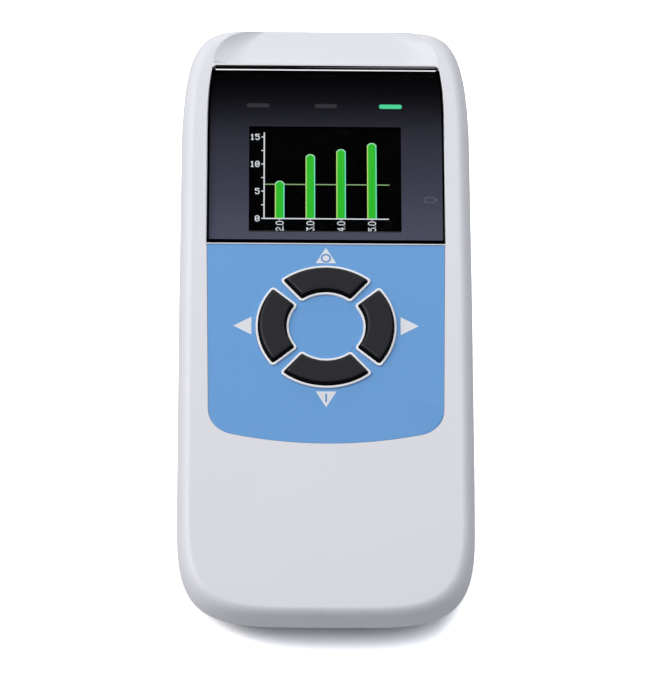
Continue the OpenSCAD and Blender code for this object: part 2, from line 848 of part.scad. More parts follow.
module keypad_mat() {
    color(silicone_grey) at_ring() difference() {
        translate([0, 0, board_top_z]) cylinder(h = mat_t, r = mat_r, $fn = 96);
        for (a = key_angles) rotate([0, 0, -a]) translate([0, key_mid_r, board_top_z - over])
            cylinder(h = mat_t + 2 * over, r = mat_hole_r, $fn = 40);
    }
}

// ---------- display and lights ----------

module display_panel() {
    color([0.05, 0.05, 0.06]) translate([-panel_w / 2, screen_y - panel_h / 2, panel_z])
        cube([panel_w, panel_h, panel_t]);
}

module display_gasket() {
    color(dark_plastic) translate([0, screen_y, panel_top_z]) difference() {
        translate([-panel_w / 2, -panel_h / 2, 0]) cube([panel_w, panel_h, gasket_t]);
        translate([-panel_w / 2 + gasket_rim, -panel_h / 2 + gasket_rim, -over])
            cube([panel_w - 2 * gasket_rim, panel_h - 2 * gasket_rim, gasket_t + 2 * over]);
    }
}

module display_carrier() {
    in_w = panel_w - 2 * carrier_lap;
    in_h = panel_h - 2 * carrier_lap;
    bar_w = light_xs[2] - light_xs[0] + light_w + 2 * carrier_wall;
    bar_h = light_h + carrier_wall;
    bar_lift = 0.6;
    bar_t = 2.2;
    color(dark_plastic) difference() {
        union() {
            translate([-carrier_w / 2, screen_y - carrier_h / 2, board_top_z])
                cube([carrier_w, carrier_h, panel_z - board_top_z]);
            translate([-bar_w / 2, screen_y, board_top_z + led_t + bar_lift])
                cube([bar_w, light_y - screen_y + bar_h / 2, bar_t]);
        }
        translate([-in_w / 2, screen_y - in_h / 2, board_top_z - over]) cube([in_w, in_h, casing_t]);
        for (x = light_xs)
            translate([x - light_w / 2 - guide_side_gap, light_y - light_h / 2 - guide_side_gap, board_top_z])
                cube([light_w + 2 * guide_side_gap, light_h + 2 * guide_side_gap, board_depth]);
        // Slot for the flex
        translate([-flex_w / 2 - flex_side_gap, screen_y - carrier_h / 2 - over, board_top_z - over])
            cube([flex_w + 2 * flex_side_gap, carrier_wall + 2 * over, casing_t]);
    }
}

// A strip of width w and thickness t, bent through a quarter or half turn about X
module bent_strip(r, t, w, angle) {
    rotate([90, 0, 90]) translate([0, 0, -w / 2])
        rotate_extrude(angle = angle, $fn = 48) translate([r, 0]) square([t, w]);
}

flex_r = 1.6;
flex_lap = 3;
flex_tail = 2.5;
flex_bend_y = screen_y - panel_h / 2 + flex_t;
fpc_y = flex_bend_y + flex_tail;
fpc_side = 1.5;

module display_flex() {
    mid_z = panel_z - flex_t - flex_r;
    color([0.72, 0.45, 0.16]) {
        translate([-flex_w / 2, flex_bend_y, panel_z - flex_t]) cube([flex_w, flex_lap, flex_t]);
        translate([0, flex_bend_y, mid_z]) rotate([90, 0, 0]) bent_strip(flex_r, flex_t, flex_w, 180);
        translate([-flex_w / 2, flex_bend_y, mid_z - flex_r - flex_t])
            cube([flex_w, fpc_y - flex_bend_y, flex_t]);
    }
}

module display_connector() {
    color([0.9, 0.88, 0.8]) translate([-flex_w / 2 - fpc_side, fpc_y, board_top_z])
        cube([flex_w + 2 * fpc_side, fpc_l, fpc_h]);
}

module light_guide(x) {
    z0 = board_top_z + led_t + guide_gap;
    color(clear_plastic) translate([x - light_w / 2, light_y - light_h / 2, z0])
        cube([light_w, light_h, guide_top_z - z0]);
}

module light_guide_charge() {
    z0 = board_top_z + led_t + guide_gap;
    color(clear_plastic) translate([charge_light[0], charge_light[1], z0])
        cylinder(h = guide_top_z - z0, r = charge_r, $fn = 32);
}

module status_leds() {
    color([0.95, 0.93, 0.75]) for (p = [for (x = light_xs) [x, light_y], charge_light])
        translate([p[0] - led_size[0] / 2, p[1] - led_size[1] / 2, board_top_z])
            cube([led_size[0], led_size[1], led_t]);
}

// ---------- boards and battery ----------

module main_board() {
    color(board_green) difference() {
        prism(rounded_rect(board_half_w, board_y0, board_y1, board_corner_r), board_z, board_top_z);
        at_case_screws() translate([0, 0, board_z - over])
            cylinder(h = board_t + 2 * over, r = case_screw_hole_r, $fn = 32);
        at_board_screws() translate([0, 0, board_z - over])
            cylinder(h = board_t + 2 * over, r = board_screw_r + board_screw_gap, $fn = 32);
    }
}

module contact_pads() {
    color(gold) for (a = key_angles) at_key(a) translate([0, key_mid_r, board_top_z])
        cylinder(h = pad_t, r = pad_r, $fn = 40);
}

// Chips under the board, each with the place of its middle: the charger's counts from the middle
// of the board's dock end, and the others count from the ring's centre
processor = [12, 12, 1.2];
memory = [7, 7, 1];
sound_chip = [10, 8, 1.1];
power_chip = [5, 5, 0.9];
clock_can = [4, 5, 1];
charger_chip = [6, 6, 1];
processor_at = [-12, 38];
memory_at = [2, 40];
sound_chip_at = [-13, 18];
power_chip_at = [-3, 24];
clock_can_at = [-20, 28];
charger_chip_at = [2, 5];
ring_centre = [0, ring_y];
chips = [
    [ring_centre + processor_at, processor], [ring_centre + memory_at, memory],
    [ring_centre + sound_chip_at, sound_chip], [ring_centre + power_chip_at, power_chip],
    [ring_centre + clock_can_at, clock_can], [[0, board_y0] + charger_chip_at, charger_chip]
];
can_size = [16, 13, 2.6];
can_from_edge = [3, 9];

module circuit_chips() {
    color([0.1, 0.1, 0.1]) for (c = chips)
        translate([c[0][0] - c[1][0] / 2, c[0][1] - c[1][1] / 2, board_z - c[1][2]]) cube(c[1]);
}

module shield_can() {
    skin = 0.3;
    x = board_half_w - can_from_edge[0] - can_size[0];
    y = board_y1 - can_from_edge[1] - can_size[1];
    color(steel) translate([x, y, board_z - can_size[2]]) difference() {
        cube(can_size);
        translate([skin, skin, skin])
            cube([can_size[0] - 2 * skin, can_size[1] - 2 * skin, can_size[2]]);
    }
}

module battery_pack() {
    pack_corner_r = 2;
    y0 = bay_y0 + battery_end_gap;
    color(battery_silver) prism(rounded_rect(battery_w / 2, y0, y0 + battery_l, pack_corner_r),
        cover_seat_z, cover_seat_z + battery_t);
}

lead_r = 0.6;
lead_x = 10;
lead_pitch = 2;
lead_colours = [[0.75, 0.1, 0.1], [0.1, 0.1, 0.1]];
lead_bend = 1.4;
lead_hole = [6, 2.2];
lead_y = bay_y1 - lead_hole[1] / 2;
lead_low_z = cover_seat_z + battery_t / 2;
battery_plug = [8, 5, 4.4];
battery_plug_from_lead = 3;
battery_plug_y = lead_y + battery_plug_from_lead;

// Two insulated wires from the pack's end, up through the bay's roof and into the plug
module battery_lead() {
    start_y = bay_y0 + battery_end_gap + battery_l;
    high_z = board_z - battery_plug[2] / 2;
    for (i = [0, 1]) color(lead_colours[i]) translate([lead_x + lead_pitch * i, 0, 0]) {
        translate([0, start_y, lead_low_z]) rotate([-90, 0, 0])
            cylinder(h = lead_y - lead_bend - start_y, r = lead_r, $fn = 20);
        translate([0, lead_y - lead_bend, lead_low_z + lead_bend]) wire_bend(-90);
        translate([0, lead_y, lead_low_z + lead_bend])
            cylinder(h = high_z - lead_low_z - 2 * lead_bend, r = lead_r, $fn = 20);
        translate([0, lead_y + lead_bend, high_z - lead_bend]) wire_bend(90);
        translate([0, lead_y + lead_bend, high_z]) rotate([-90, 0, 0])
            cylinder(h = battery_plug_y - lead_y - lead_bend, r = lead_r, $fn = 20);
    }
}

// A quarter bend of wire in the YZ plane, from the given angle
module wire_bend(start) {
    rotate([90, 0, 90]) rotate([0, 0, start]) rotate_extrude(angle = 90, $fn = 48)
        translate([lead_bend, 0]) circle(r = lead_r, $fn = 20);
}

module battery_connector() {
    color([0.93, 0.92, 0.86])
        translate([lead_x + lead_pitch / 2 - battery_plug[0] / 2, battery_plug_y, board_z - battery_plug[2]])
            cube(battery_plug);
}

module battery_cover() {
    color(white_abs) difference() {
        union() {
            prism(rounded_rect(cover_half_w, cover_y0, cover_y1, cover_corner_r), cover_sunk, cover_seat_z);
            for (x = [-tab_x, tab_x])
                translate([x - tab_w / 2, bay_y0 - tab_reach, cover_seat_z - cover_sunk])
                    cube([tab_w, tab_reach + cover_sunk, cover_sunk + tab_t - tab_gap]);
        }
        translate([0, cover_screw_y, -over])
            cylinder(h = cover_head_t + cover_sunk + over, r = cover_head_r + cover_screw_gap, $fn = 40);
        translate([0, cover_screw_y, -over])
            cylinder(h = cover_seat_z + 2 * over, r = cover_screw_r + cover_screw_gap, $fn = 32);
    }
}

module pan_screw(head_r, head_t, r, l) {
    slot_w = 0.7;
    slot_reach = 0.6 * head_r;
    difference() {
        union() {
            cylinder(h = head_t, r = head_r, $fn = 40);
            cylinder(h = head_t + l, r = r, $fn = 32);
        }
        for (a = [0, 90]) rotate([0, 0, a]) translate([-slot_reach, -slot_w / 2, -over])
            cube([2 * slot_reach, slot_w, over + head_t / 2]);
    }
}

module battery_cover_screw() {
    color(steel) translate([0, cover_screw_y, cover_sunk + pilot_gap])
        pan_screw(cover_head_r, cover_head_t - pilot_gap, cover_screw_r, cover_screw_l);
}

module housing_screws() {
    color(steel) at_case_screws() translate([0, 0, case_screw_seat_z - case_screw_head_t])
        pan_screw(case_screw_head_r, case_screw_head_t, case_screw_r,
            board_top_z - case_screw_seat_z + case_screw_grip);
}

module board_screws() {
    color(steel) at_board_screws() translate([0, 0, board_z - board_screw_head_t])
        pan_screw(board_screw_head_r, board_screw_head_t, board_screw_r, board_t + board_screw_grip);
}

// ---------- sockets ----------

module along_y(y, z) {
    translate([0, y, z]) rotate([-90, 0, 0]) children();
}

module probe_socket_shell() {
    barrel_l = probe_bore_l + probe_insert_l - probe_flange_t;
    color(steel) difference() {
        union() {
            along_y(probe_flange_y, probe_z) cylinder(h = probe_flange_t, r = probe_flange_r, $fn = 64);
            along_y(probe_flange_y - barrel_l, probe_z)
                cylinder(h = barrel_l + probe_flange_t / 2, r = probe_barrel_r, $fn = 64);
        }
        along_y(probe_face_y, probe_z) cylinder(h = probe_bore_l + over, r = probe_bore_r, $fn = 64);
        along_y(probe_flange_y - barrel_l - over, probe_z)
            cylinder(h = casing_t, r = probe_insert_r + press_gap, $fn = 64);
    }
}

probe_face_y = probe_flange_y + probe_flange_t - probe_bore_l;

module at_probe_pins() {
    for (i = [0 : probe_pins - 1])
        rotate([0, 0, 360 * i / probe_pins]) translate([probe_pin_ring, 0, 0]) children();
}

module probe_socket_insert() {
    color(dark_plastic) difference() {
        along_y(probe_face_y - probe_insert_l, probe_z)
            cylinder(h = probe_insert_l, r = probe_insert_r, $fn = 64);
        along_y(probe_face_y - probe_insert_l - over, probe_z) at_probe_pins()
            cylinder(h = probe_insert_l + 2 * over, r = probe_pin_r + pin_gap, $fn = 24);
    }
}

module probe_socket_contacts() {
    pin_l = probe_tail_l + probe_insert_l - probe_pin_sunk;
    color(gold) along_y(probe_face_y - probe_insert_l - probe_tail_l, probe_z) at_probe_pins() difference() {
        cylinder(h = pin_l, r = probe_pin_r, $fn = 20);
        translate([0, 0, pin_l - probe_pin_bore_l]) cylinder(h = pin_l, r = probe_pin_r * 0.6, $fn = 16);
    }
}

module probe_socket_nut() {
    nut_y = probe_flange_y - probe_pad_t - probe_nut_t;
    color(steel) difference() {
        along_y(nut_y, probe_z) rotate([0, 0, 30])
            cylinder(h = probe_nut_t, d = probe_nut_af / cos(30), $fn = 6);
        along_y(nut_y - over, probe_z)
            cylinder(h = probe_nut_t + 2 * over, r = probe_barrel_r + pin_gap, $fn = 64);
    }
}

probe_plug_h = 3;
probe_plug_l = 4.4;
probe_plug_side = 1.5;
ribbon_from_board_end = 6;
ribbon_y1 = probe_face_y - probe_insert_l - probe_tail_l;
ribbon_y0 = board_y1 - ribbon_from_board_end;

// Flat ribbon from the socket's tails, turning up into the connector under the board
module probe_ribbon() {
    bend_z = probe_z + ribbon_t / 2 + ribbon_bend;
    color([0.8, 0.8, 0.78]) {
        translate([-ribbon_w / 2, ribbon_y0 + ribbon_bend + ribbon_t, probe_z - ribbon_t / 2])
            cube([ribbon_w, ribbon_y1 - ribbon_y0 - ribbon_bend - ribbon_t, ribbon_t]);
        translate([0, ribbon_y0 + ribbon_bend + ribbon_t, bend_z]) rotate([180, 0, 0])
            bent_strip(ribbon_bend, ribbon_t, ribbon_w, 90);
        translate([-ribbon_w / 2, ribbon_y0, bend_z])
            cube([ribbon_w, ribbon_t, board_z - probe_plug_h - bend_z]);
    }
}

module probe_connector() {
    plug_w = ribbon_w + 2 * probe_plug_side;
    color([0.93, 0.92, 0.86])
        translate([-plug_w / 2, ribbon_y0 + ribbon_t / 2 - probe_plug_l / 2, board_z - probe_plug_h])
            cube([plug_w, probe_plug_l, probe_plug_h]);
}

dock_l = dock_cavity_l + dock_back_l;

module dock_socket_shell() {
    w = dock_mouth_w + 2 * dock_shell_t;
    h = dock_mouth_h + 2 * dock_shell_t;
    color(steel) translate([0, dock_mouth_y, dock_z]) difference() {
        translate([-w / 2, 0, -h / 2]) cube([w, dock_l, h]);
        translate([-dock_mouth_w / 2, -over, -dock_mouth_h / 2])
            cube([dock_mouth_w, dock_l + 2 * over, dock_mouth_h]);
    }
}

module dock_socket_insert() {
    color(dark_plastic)
        translate([-dock_mouth_w / 2, dock_mouth_y + dock_cavity_l, dock_z - dock_mouth_h / 2])
            cube([dock_mouth_w, dock_back_l, dock_mouth_h]);
}

module dock_socket_contacts() {
    count = 8;
    contact_w = 0.8;
    contact_sunk = 1.2;
    contact_side = 1.5;
    pitch = (dock_mouth_w - 2 * contact_side) / (count - 1);
    color(gold) for (i = [0 : count - 1])
        translate([-dock_mouth_w / 2 + contact_side + pitch * i - contact_w / 2, dock_mouth_y + contact_sunk,
            dock_z + dock_mouth_h / 2 - dock_contact_t])
            cube([contact_w, dock_cavity_l - contact_sunk, dock_contact_t]);
}

// ---------- nodes ----------

front_housing();
rear_housing();
display_window();
keypad_label();
at_key(0) key_cap();  // key_up
at_key(180) key_cap();  // key_down
at_key(-90) key_cap();  // key_left
at_key(90) key_cap();  // key_right
at_key(0) contact_pill();  // contact_pill_up
at_key(180) contact_pill();  // contact_pill_down
at_key(-90) contact_pill();  // contact_pill_left
at_key(90) contact_pill();  // contact_pill_right
at_key(0) key_skirt();  // key_skirt_up
at_key(180) key_skirt();  // key_skirt_down
at_key(-90) key_skirt();  // key_skirt_left
at_key(90) key_skirt();  // key_skirt_right
keypad_mat();
display_panel();
display_gasket();
display_carrier();
display_flex();
display_connector();
light_guide(light_xs[0]);  // light_guide_left
light_guide(light_xs[1]);  // light_guide_middle
light_guide(light_xs[2]);  // light_guide_right
light_guide_charge();
status_leds();
main_board();
contact_pads();
circuit_chips();
shield_can();
battery_pack();
battery_lead();
battery_connector();
battery_cover();
battery_cover_screw();
probe_socket_shell();
probe_socket_insert();
probe_socket_contacts();
probe_socket_nut();
probe_ribbon();
probe_connector();
dock_socket_shell();
dock_socket_insert();
dock_socket_contacts();
housing_screws();
board_screws();
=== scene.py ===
# %% [markdown]
# # A handheld audiometer
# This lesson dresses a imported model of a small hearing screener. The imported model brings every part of
# the device, at its real size and place, in metres. X runs across the casing, Y along it towards the
# probe socket, and Z up through the front. The lesson gives each part its finish, and it models again the
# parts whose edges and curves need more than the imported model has: the casing, the window, the keys and
# the print.

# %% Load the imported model
import json
import math

import bmesh
import bpy
from mathutils import Matrix, Vector


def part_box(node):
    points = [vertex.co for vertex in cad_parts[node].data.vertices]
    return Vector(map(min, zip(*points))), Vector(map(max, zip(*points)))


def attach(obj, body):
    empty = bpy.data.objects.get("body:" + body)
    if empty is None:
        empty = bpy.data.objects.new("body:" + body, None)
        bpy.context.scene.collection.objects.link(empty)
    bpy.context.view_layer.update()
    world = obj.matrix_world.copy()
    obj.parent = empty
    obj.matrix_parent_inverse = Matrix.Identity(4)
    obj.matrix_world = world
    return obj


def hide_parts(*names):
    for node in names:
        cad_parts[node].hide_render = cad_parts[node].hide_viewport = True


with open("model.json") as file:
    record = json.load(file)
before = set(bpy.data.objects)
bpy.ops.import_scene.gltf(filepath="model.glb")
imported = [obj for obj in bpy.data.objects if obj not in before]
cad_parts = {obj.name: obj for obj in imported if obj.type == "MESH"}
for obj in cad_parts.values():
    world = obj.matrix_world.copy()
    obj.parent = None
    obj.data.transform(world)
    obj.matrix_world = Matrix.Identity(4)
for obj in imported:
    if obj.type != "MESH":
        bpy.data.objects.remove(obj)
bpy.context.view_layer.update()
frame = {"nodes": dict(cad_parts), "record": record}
nodes = frame["nodes"]
MM = 0.001

# %% [markdown]
# ## Landmarks
# Everything on the front is placed from three parts of the model: the display window, the ring of four
# keys, and the display panel. Reading their boxes keeps the print and the keys in step with the model.

# %% Measure the landmarks
window_low, window_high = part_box("display_window")
_, label_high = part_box("keypad_label")
panel_low, panel_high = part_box("display_panel")
_, key_up_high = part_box("key_up")
key_down_low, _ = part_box("key_down")

WINDOW_PROUD = 0.8 * MM
FRONT = window_high.z - WINDOW_PROUD
RING_Y = (key_up_high.y + key_down_low.y) / 2
SCREEN_Y = (panel_low.y + panel_high.y) / 2
print("front plane", round(FRONT / MM, 2), "ring", round(RING_Y / MM, 2), "screen", round(SCREEN_Y / MM, 2))

# %% [markdown]
# ## The camera
# The device lies on its back, and the camera looks down on it from the dock end at about sixty degrees. A
# long lens from a metre and a half keeps the sides nearly parallel, and the camera leans a little to one
# side.

# %% Place the camera
FRAME_H = 676
CAMERA_TURN, CAMERA_RISE, CAMERA_ROLL = (math.radians(a) for a in (1.755, 59.715, 1.910))
CAMERA_DISTANCE = 1.5006
FOCAL_PIXELS = 6790
TARGET = Vector((0.00195, -0.00361, 0.025))

back = Vector((
    -math.sin(CAMERA_TURN) * math.cos(CAMERA_RISE),
    -math.cos(CAMERA_TURN) * math.cos(CAMERA_RISE),
    math.sin(CAMERA_RISE),
))
level = Vector((math.cos(CAMERA_TURN), -math.sin(CAMERA_TURN), 0))
upward = back.cross(level)
right = math.cos(CAMERA_ROLL) * level + math.sin(CAMERA_ROLL) * upward
top = math.cos(CAMERA_ROLL) * upward - math.sin(CAMERA_ROLL) * level

camera_data = bpy.data.cameras.new("camera")
camera_data.sensor_width = 36
camera_data.lens = FOCAL_PIXELS * camera_data.sensor_width / FRAME_H
camera_data.clip_start, camera_data.clip_end = 0.05, 50
camera = bpy.data.objects.new("camera", camera_data)
facing = Matrix((right, top, back)).transposed().to_4x4()
camera.matrix_world = Matrix.Translation(TARGET + back * CAMERA_DISTANCE) @ facing
bpy.context.scene.collection.objects.link(camera)
bpy.context.scene.camera = camera
bpy.context.scene.view_settings.view_transform = "Standard"
print("lens", round(camera_data.lens, 1), "mm")

# %% [markdown]
# ## Two helpers for materials
# Colours are written as hex values, as a paint chart gives them, and one function turns them into the
# linear values that the shader wants. A second function adds one node, with its settings and its inputs:
# a value is stored in the input, and another node's output is linked to it.

# %% Colour and node helpers
def linear(hex_colour, alpha=1.0):
    channels = [int(hex_colour[i:i + 2], 16) / 255 for i in (0, 2, 4)]
    return (*(c / 12.92 if c <= 0.04045 else ((c + 0.055) / 1.055) ** 2.4 for c in channels), alpha)


def add(tree, kind, settings=None, inputs=None):
    node = tree.nodes.new(kind)
    for name, value in (settings or {}).items():
        setattr(node, name, value)
    for name, value in (inputs or {}).items():
        if isinstance(value, bpy.types.NodeSocket):
            tree.links.new(value, node.inputs[name])
        else:
            node.inputs[name].default_value = value
    return node


def new_material(name):
    material = bpy.data.materials.new(name)
    material.use_nodes = True
    material.node_tree.nodes.clear()
    return material, material.node_tree


def per_metre(size_mm):
    """Noise scale that repeats about once in that many millimetres."""
    return 1 / (size_mm * MM)


print("white of the casing in linear light:", [round(c, 3) for c in linear("e7e8ee")[:3]])

# %% [markdown]
# ## A moulded or coated surface
# Plastics, rubbers, coatings and plated metals differ in colour and gloss, but share a build-up: a colour
# that drifts a little over centimetres, a grain with a real size that tilts the surface, and a gloss that
# varies with the same grain. One function builds that from Object coordinates, so it stays on the part as
# it moves.

# %% Surface finish builder
def surface(name, colour, drift, roughness, grain_mm, grain_depth_mm, metallic=0.0, ior=1.5,
            roughness_spread=0.05, drift_mm=30.0, coat=0.0, stretch=(1, 1, 1), **fixed):
    material, tree = new_material(name)
    place = add(tree, "ShaderNodeTexCoord").outputs["Object"]
    stretched = add(tree, "ShaderNodeMapping", inputs={"Vector": place, "Scale": stretch}).outputs["Vector"]
    patches = add(tree, "ShaderNodeTexNoise", inputs={
        "Vector": place, "Scale": per_metre(drift_mm), "Detail": 3.0, "Roughness": 0.5}).outputs["Fac"]
    grain = add(tree, "ShaderNodeTexNoise", inputs={
        "Vector": stretched, "Scale": per_metre(grain_mm), "Detail": 2.0, "Roughness": 0.55}).outputs["Fac"]
    tint = add(tree, "ShaderNodeMix", {"data_type": "RGBA"})
    tree.links.new(patches, tint.inputs[0])
    tint.inputs[6].default_value = linear(colour)
    tint.inputs[7].default_value = linear(drift)
    gloss = add(tree, "ShaderNodeMapRange", inputs={
        "Value": grain, "From Min": 0.3, "From Max": 0.7,
        "To Min": max(0.02, roughness - roughness_spread), "To Max": min(1.0, roughness + roughness_spread)})
    bump = add(tree, "ShaderNodeBump", inputs={
        "Height": grain, "Distance": grain_depth_mm * MM, "Strength": 1.0})
    shader = add(tree, "ShaderNodeBsdfPrincipled", inputs={
        "Base Color": tint.outputs[2], "Roughness": gloss.outputs["Result"], "Normal": bump.outputs["Normal"],
        "Metallic": metallic, "IOR": ior, "Coat Weight": coat, "Coat Roughness": 0.08, **fixed})
    add(tree, "ShaderNodeOutputMaterial", inputs={"Surface": shader.outputs["BSDF"]})
    return material


# ABS from a spark-eroded mould: a fine matt grain that breaks up highlights. The real grain is near 0.1 mm.
white_abs = surface("abs_moulded_spark_texture", "e7e8ee", "e3e4ea", 0.42, 0.35, 0.004)
# Coated rubber on the keys' tops: deep black with a soft, broad sheen, weaker than a hard plastic's.
key_rubber = surface("rubber_coated_satin_black", "14151b", "111217", 0.48, 0.25, 0.004,
                     roughness_spread=0.04, **{"Specular IOR Level": 0.25})
# The same rubber on the keys' walls, painted a flat, deeper black: painted shade for the deep gap between key
# and lip.
key_rubber_painted_shade = surface("rubber_black_painted_shade", "060607", "080809", 0.8, 0.25, 0.004,
                          roughness_spread=0.04, **{"Specular IOR Level": 0.05})
# ABS on the lips and edges of the openings, a little glossier than the grain and painted brighter: a painted
# highlight where these edges catch the light.
white_painted_highlight = surface("abs_white_painted_highlight", "fcfdff", "f8f9fc", 0.3, 0.35, 0.001)
# Polycarbonate film with a velvet face, screen-printed in blue behind.
label_film = surface("polycarbonate_film_velvet_blue", "67a2dd", "629dd8", 0.48, 0.22, 0.003, drift_mm=60.0)
# Keypad mat: translucent rubber filled with grey, dull and a little waxy.
grey_silicone = surface("silicone_moulded_grey", "8d9196", "85898e", 0.62, 0.4, 0.006)
# Conductive pills: carbon makes the rubber flat and dusty black.
carbon_rubber = surface("rubber_carbon_loaded", "151515", "1b1b1b", 0.75, 0.2, 0.004)
# Gaskets: open, light-swallowing cells of half a millimetre. The same black on the window seat's walls is
# painted shade.
foam_and_painted_shade = surface("foam_closed_cell_black_and_painted_shade", "1b1b1c", "242425", 0.9, 0.5, 0.05)
# Carriers and socket inserts: a tough black plastic with a slight sheen.
black_nylon = surface("nylon_moulded_black", "1d1d1f", "232325", 0.5, 0.3, 0.005)
# Connectors: unpainted nylon has this yellowish white.
ivory_nylon = surface("nylon_moulded_ivory", "e6dfc8", "dfd8bf", 0.45, 0.3, 0.004)
# Board: green varnish over woven glass, shiny, with a slow ripple from the weave.
solder_mask = surface("glass_epoxy_solder_mask_green", "0f5a30", "126236", 0.28, 1.2, 0.01, coat=0.4)
# Chip bodies: filled epoxy, near black and matt.
chip_epoxy = surface("epoxy_moulded_chip", "1a1a1b", "222223", 0.55, 0.15, 0.003)
# Lamps on the board: pale ceramic with a yellow phosphor.
led_body = surface("ceramic_lamp_with_phosphor", "f2e7a8", "f6efc4", 0.4, 0.3, 0.002)
# The display's flex: amber film with a glossy cover layer.
polyimide = surface("polyimide_film_amber", "b8762a", "ad6c22", 0.25, 0.8, 0.002, coat=0.3)
# Battery pouch: foil that creases softly over a few millimetres.
pouch_foil = surface("aluminium_foil_pouch", "a9adb4", "b4b8be", 0.38, 3.0, 0.04, metallic=0.8)
# Wires: soft coloured insulation.
wire_insulation = surface("pvc_insulation_red", "9c1c1c", "a82424", 0.4, 0.8, 0.004)
# The ribbon's grain runs across, so its wires show along it.
ribbon_insulation = surface("pvc_insulation_grey", "a9a9a5", "a1a19d", 0.45, 0.8, 0.004, stretch=(8, 1, 1))
# Screws: bluish, bright zinc.
zinc_steel = surface("steel_zinc_plated", "bcbfc4", "b2b5bb", 0.3, 0.15, 0.002, metallic=1.0)
# Shield can: rolled sheet, so its grain runs one way.
tin_steel = surface("steel_tin_plated_rolled", "c3c4c4", "b9babb", 0.32, 0.2, 0.002,
                    metallic=1.0, stretch=(1, 8, 1))
# Probe socket: turned brass under warm, smooth nickel.
nickel_brass = surface("brass_turned_nickel_plated", "c9c6bf", "bfbcb4", 0.22, 0.15, 0.001, metallic=1.0)
# Contacts: a thin, clean gold flash.
gold_plate = surface("gold_flash_plated", "d8b25a", "cda64e", 0.25, 0.2, 0.001, metallic=1.0)
# Light guides before they are lit: clear, faintly green.
clear_acrylic = surface("acrylic_clear_moulded", "dfe8e4", "d9e3df", 0.12, 1.0, 0.001,
                        **{"Transmission Weight": 0.85})
# The panel's glass: black and smooth, with a weak mirror, because the lens above it mirrors already.
display_glass = surface("display_glass_black", "030304", "040405", 0.12, 5.0, 0.0005,
                        **{"Specular IOR Level": 0.2})
print("finishes so far:", len(bpy.data.materials))

# %% [markdown]
# ## Giving every part its finish
# The record that travels with the model names a material slot for each part. A table from slot to finish
# dresses all the parts at once, also those inside the casing.

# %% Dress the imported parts
slot_finish = {
    "white_shell": white_abs, "smoked_window": display_glass, "blue_label": label_film,
    "black_key_rubber": key_rubber, "carbon_pill": carbon_rubber, "grey_silicone": grey_silicone,
    "display_glass": display_glass, "black_foam": foam_and_painted_shade, "black_plastic": black_nylon,
    "flex_film": polyimide, "ivory_connector": ivory_nylon, "clear_light_guide": clear_acrylic,
    "led_package": led_body, "green_board": solder_mask, "gold_contact": gold_plate,
    "black_chip": chip_epoxy, "tinned_steel": tin_steel, "nickel_brass": nickel_brass,
    "battery_wrap": pouch_foil, "lead_insulation": wire_insulation, "grey_ribbon": ribbon_insulation,
    "zinc_screw": zinc_steel,
}
part_slot = {part["node"]: part["material_slot"] for part in frame["record"]["subparts"]}
for part, obj in nodes.items():
    obj.data.materials.clear()
    obj.data.materials.append(slot_finish[part_slot[part]])
print("dressed:", len(part_slot))

# %% [markdown]
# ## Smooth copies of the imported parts
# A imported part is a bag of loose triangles, flat-shaded. A copy whose doubled corners are merged can be
# shaded smooth, with creases only where two faces meet at a real edge. A Weighted Normal modifier then
# keeps the large flat faces flat, as moulded plastic is. The copy rides on the same body and stands for
# the part.

# %% Smooth copy helper
MERGE = 1e-6


def add_piece(name, mesh_bm, material, body, crease_deg=30.0, weighted=True):
    mesh = bpy.data.meshes.new(name)
    mesh_bm.to_mesh(mesh)
    mesh_bm.free()
    mesh.polygons.foreach_set("use_smooth", [True] * len(mesh.polygons))
    mesh.set_sharp_from_angle(angle=math.radians(crease_deg))
    mesh.materials.append(material)
    obj = bpy.data.objects.new(name, mesh)
    bpy.context.scene.collection.objects.link(obj)
    if weighted:
        modifier = obj.modifiers.new("flat_faces_stay_flat", "WEIGHTED_NORMAL")
        modifier.keep_sharp = True
        modifier.weight = 100
    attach(obj, body)
    return obj


def merged(node):
    copy = bmesh.new()
    copy.from_mesh(nodes[node].data)
    bmesh.ops.remove_doubles(copy, verts=copy.verts, dist=MERGE)
    return copy


def smooth_copy(node, crease_deg):
    piece = add_piece(node + "_finished", merged(node), slot_finish[part_slot[node]], "casing", crease_deg)
    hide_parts(node)
    return piece


SHELL_CREASE, PART_CREASE = 12.5, 30.0
for part, crease in (
    ("rear_housing", SHELL_CREASE), ("battery_cover", SHELL_CREASE),
    ("keypad_label", PART_CREASE), ("probe_socket_shell", PART_CREASE),
    ("probe_socket_insert", PART_CREASE), ("probe_socket_contacts", PART_CREASE),
    ("probe_socket_nut", PART_CREASE), ("housing_screws", PART_CREASE),
    ("battery_cover_screw", PART_CREASE), ("dock_socket_shell", PART_CREASE),
    ("dock_socket_insert", PART_CREASE),
):
    made = smooth_copy(part, crease)
    print(part, len(made.data.vertices), "vertices")

# %% [markdown]
# ## The front shell's fine edges
# The edge of the window's opening is rounded a little, as every moulded edge is, and that line catches
# the light. That rounded edge and the lips round the keys are painted brighter than the shell: a painted
# highlight. The walls of the window's seat are painted with the gaskets' black: painted shade, for the
# black band of shade round the lens. The hollow beyond the window keeps a sharp edge against the level
# front, although the two meet at a small angle.

# %% Round the opening's edge
OPENING_ROUND = 0.12 * MM
OPENING_REACH, SCOOP_REACH = 0.3 * MM, 0.5 * MM
LIPS_REACH, LIPS_DEPTH = 16.0 * MM, 0.4 * MM
ON_FRONT = 10 * MERGE
LYING, DEAD_LEVEL = 0.9, 0.99995
HIGHLIGHT_SLOT, PAINTED_SHADE_SLOT = 1, 2

shell = merged("front_housing")
shell.normal_update()


def middle_of(edge):
    return (edge.verts[0].co + edge.verts[1].co) / 2


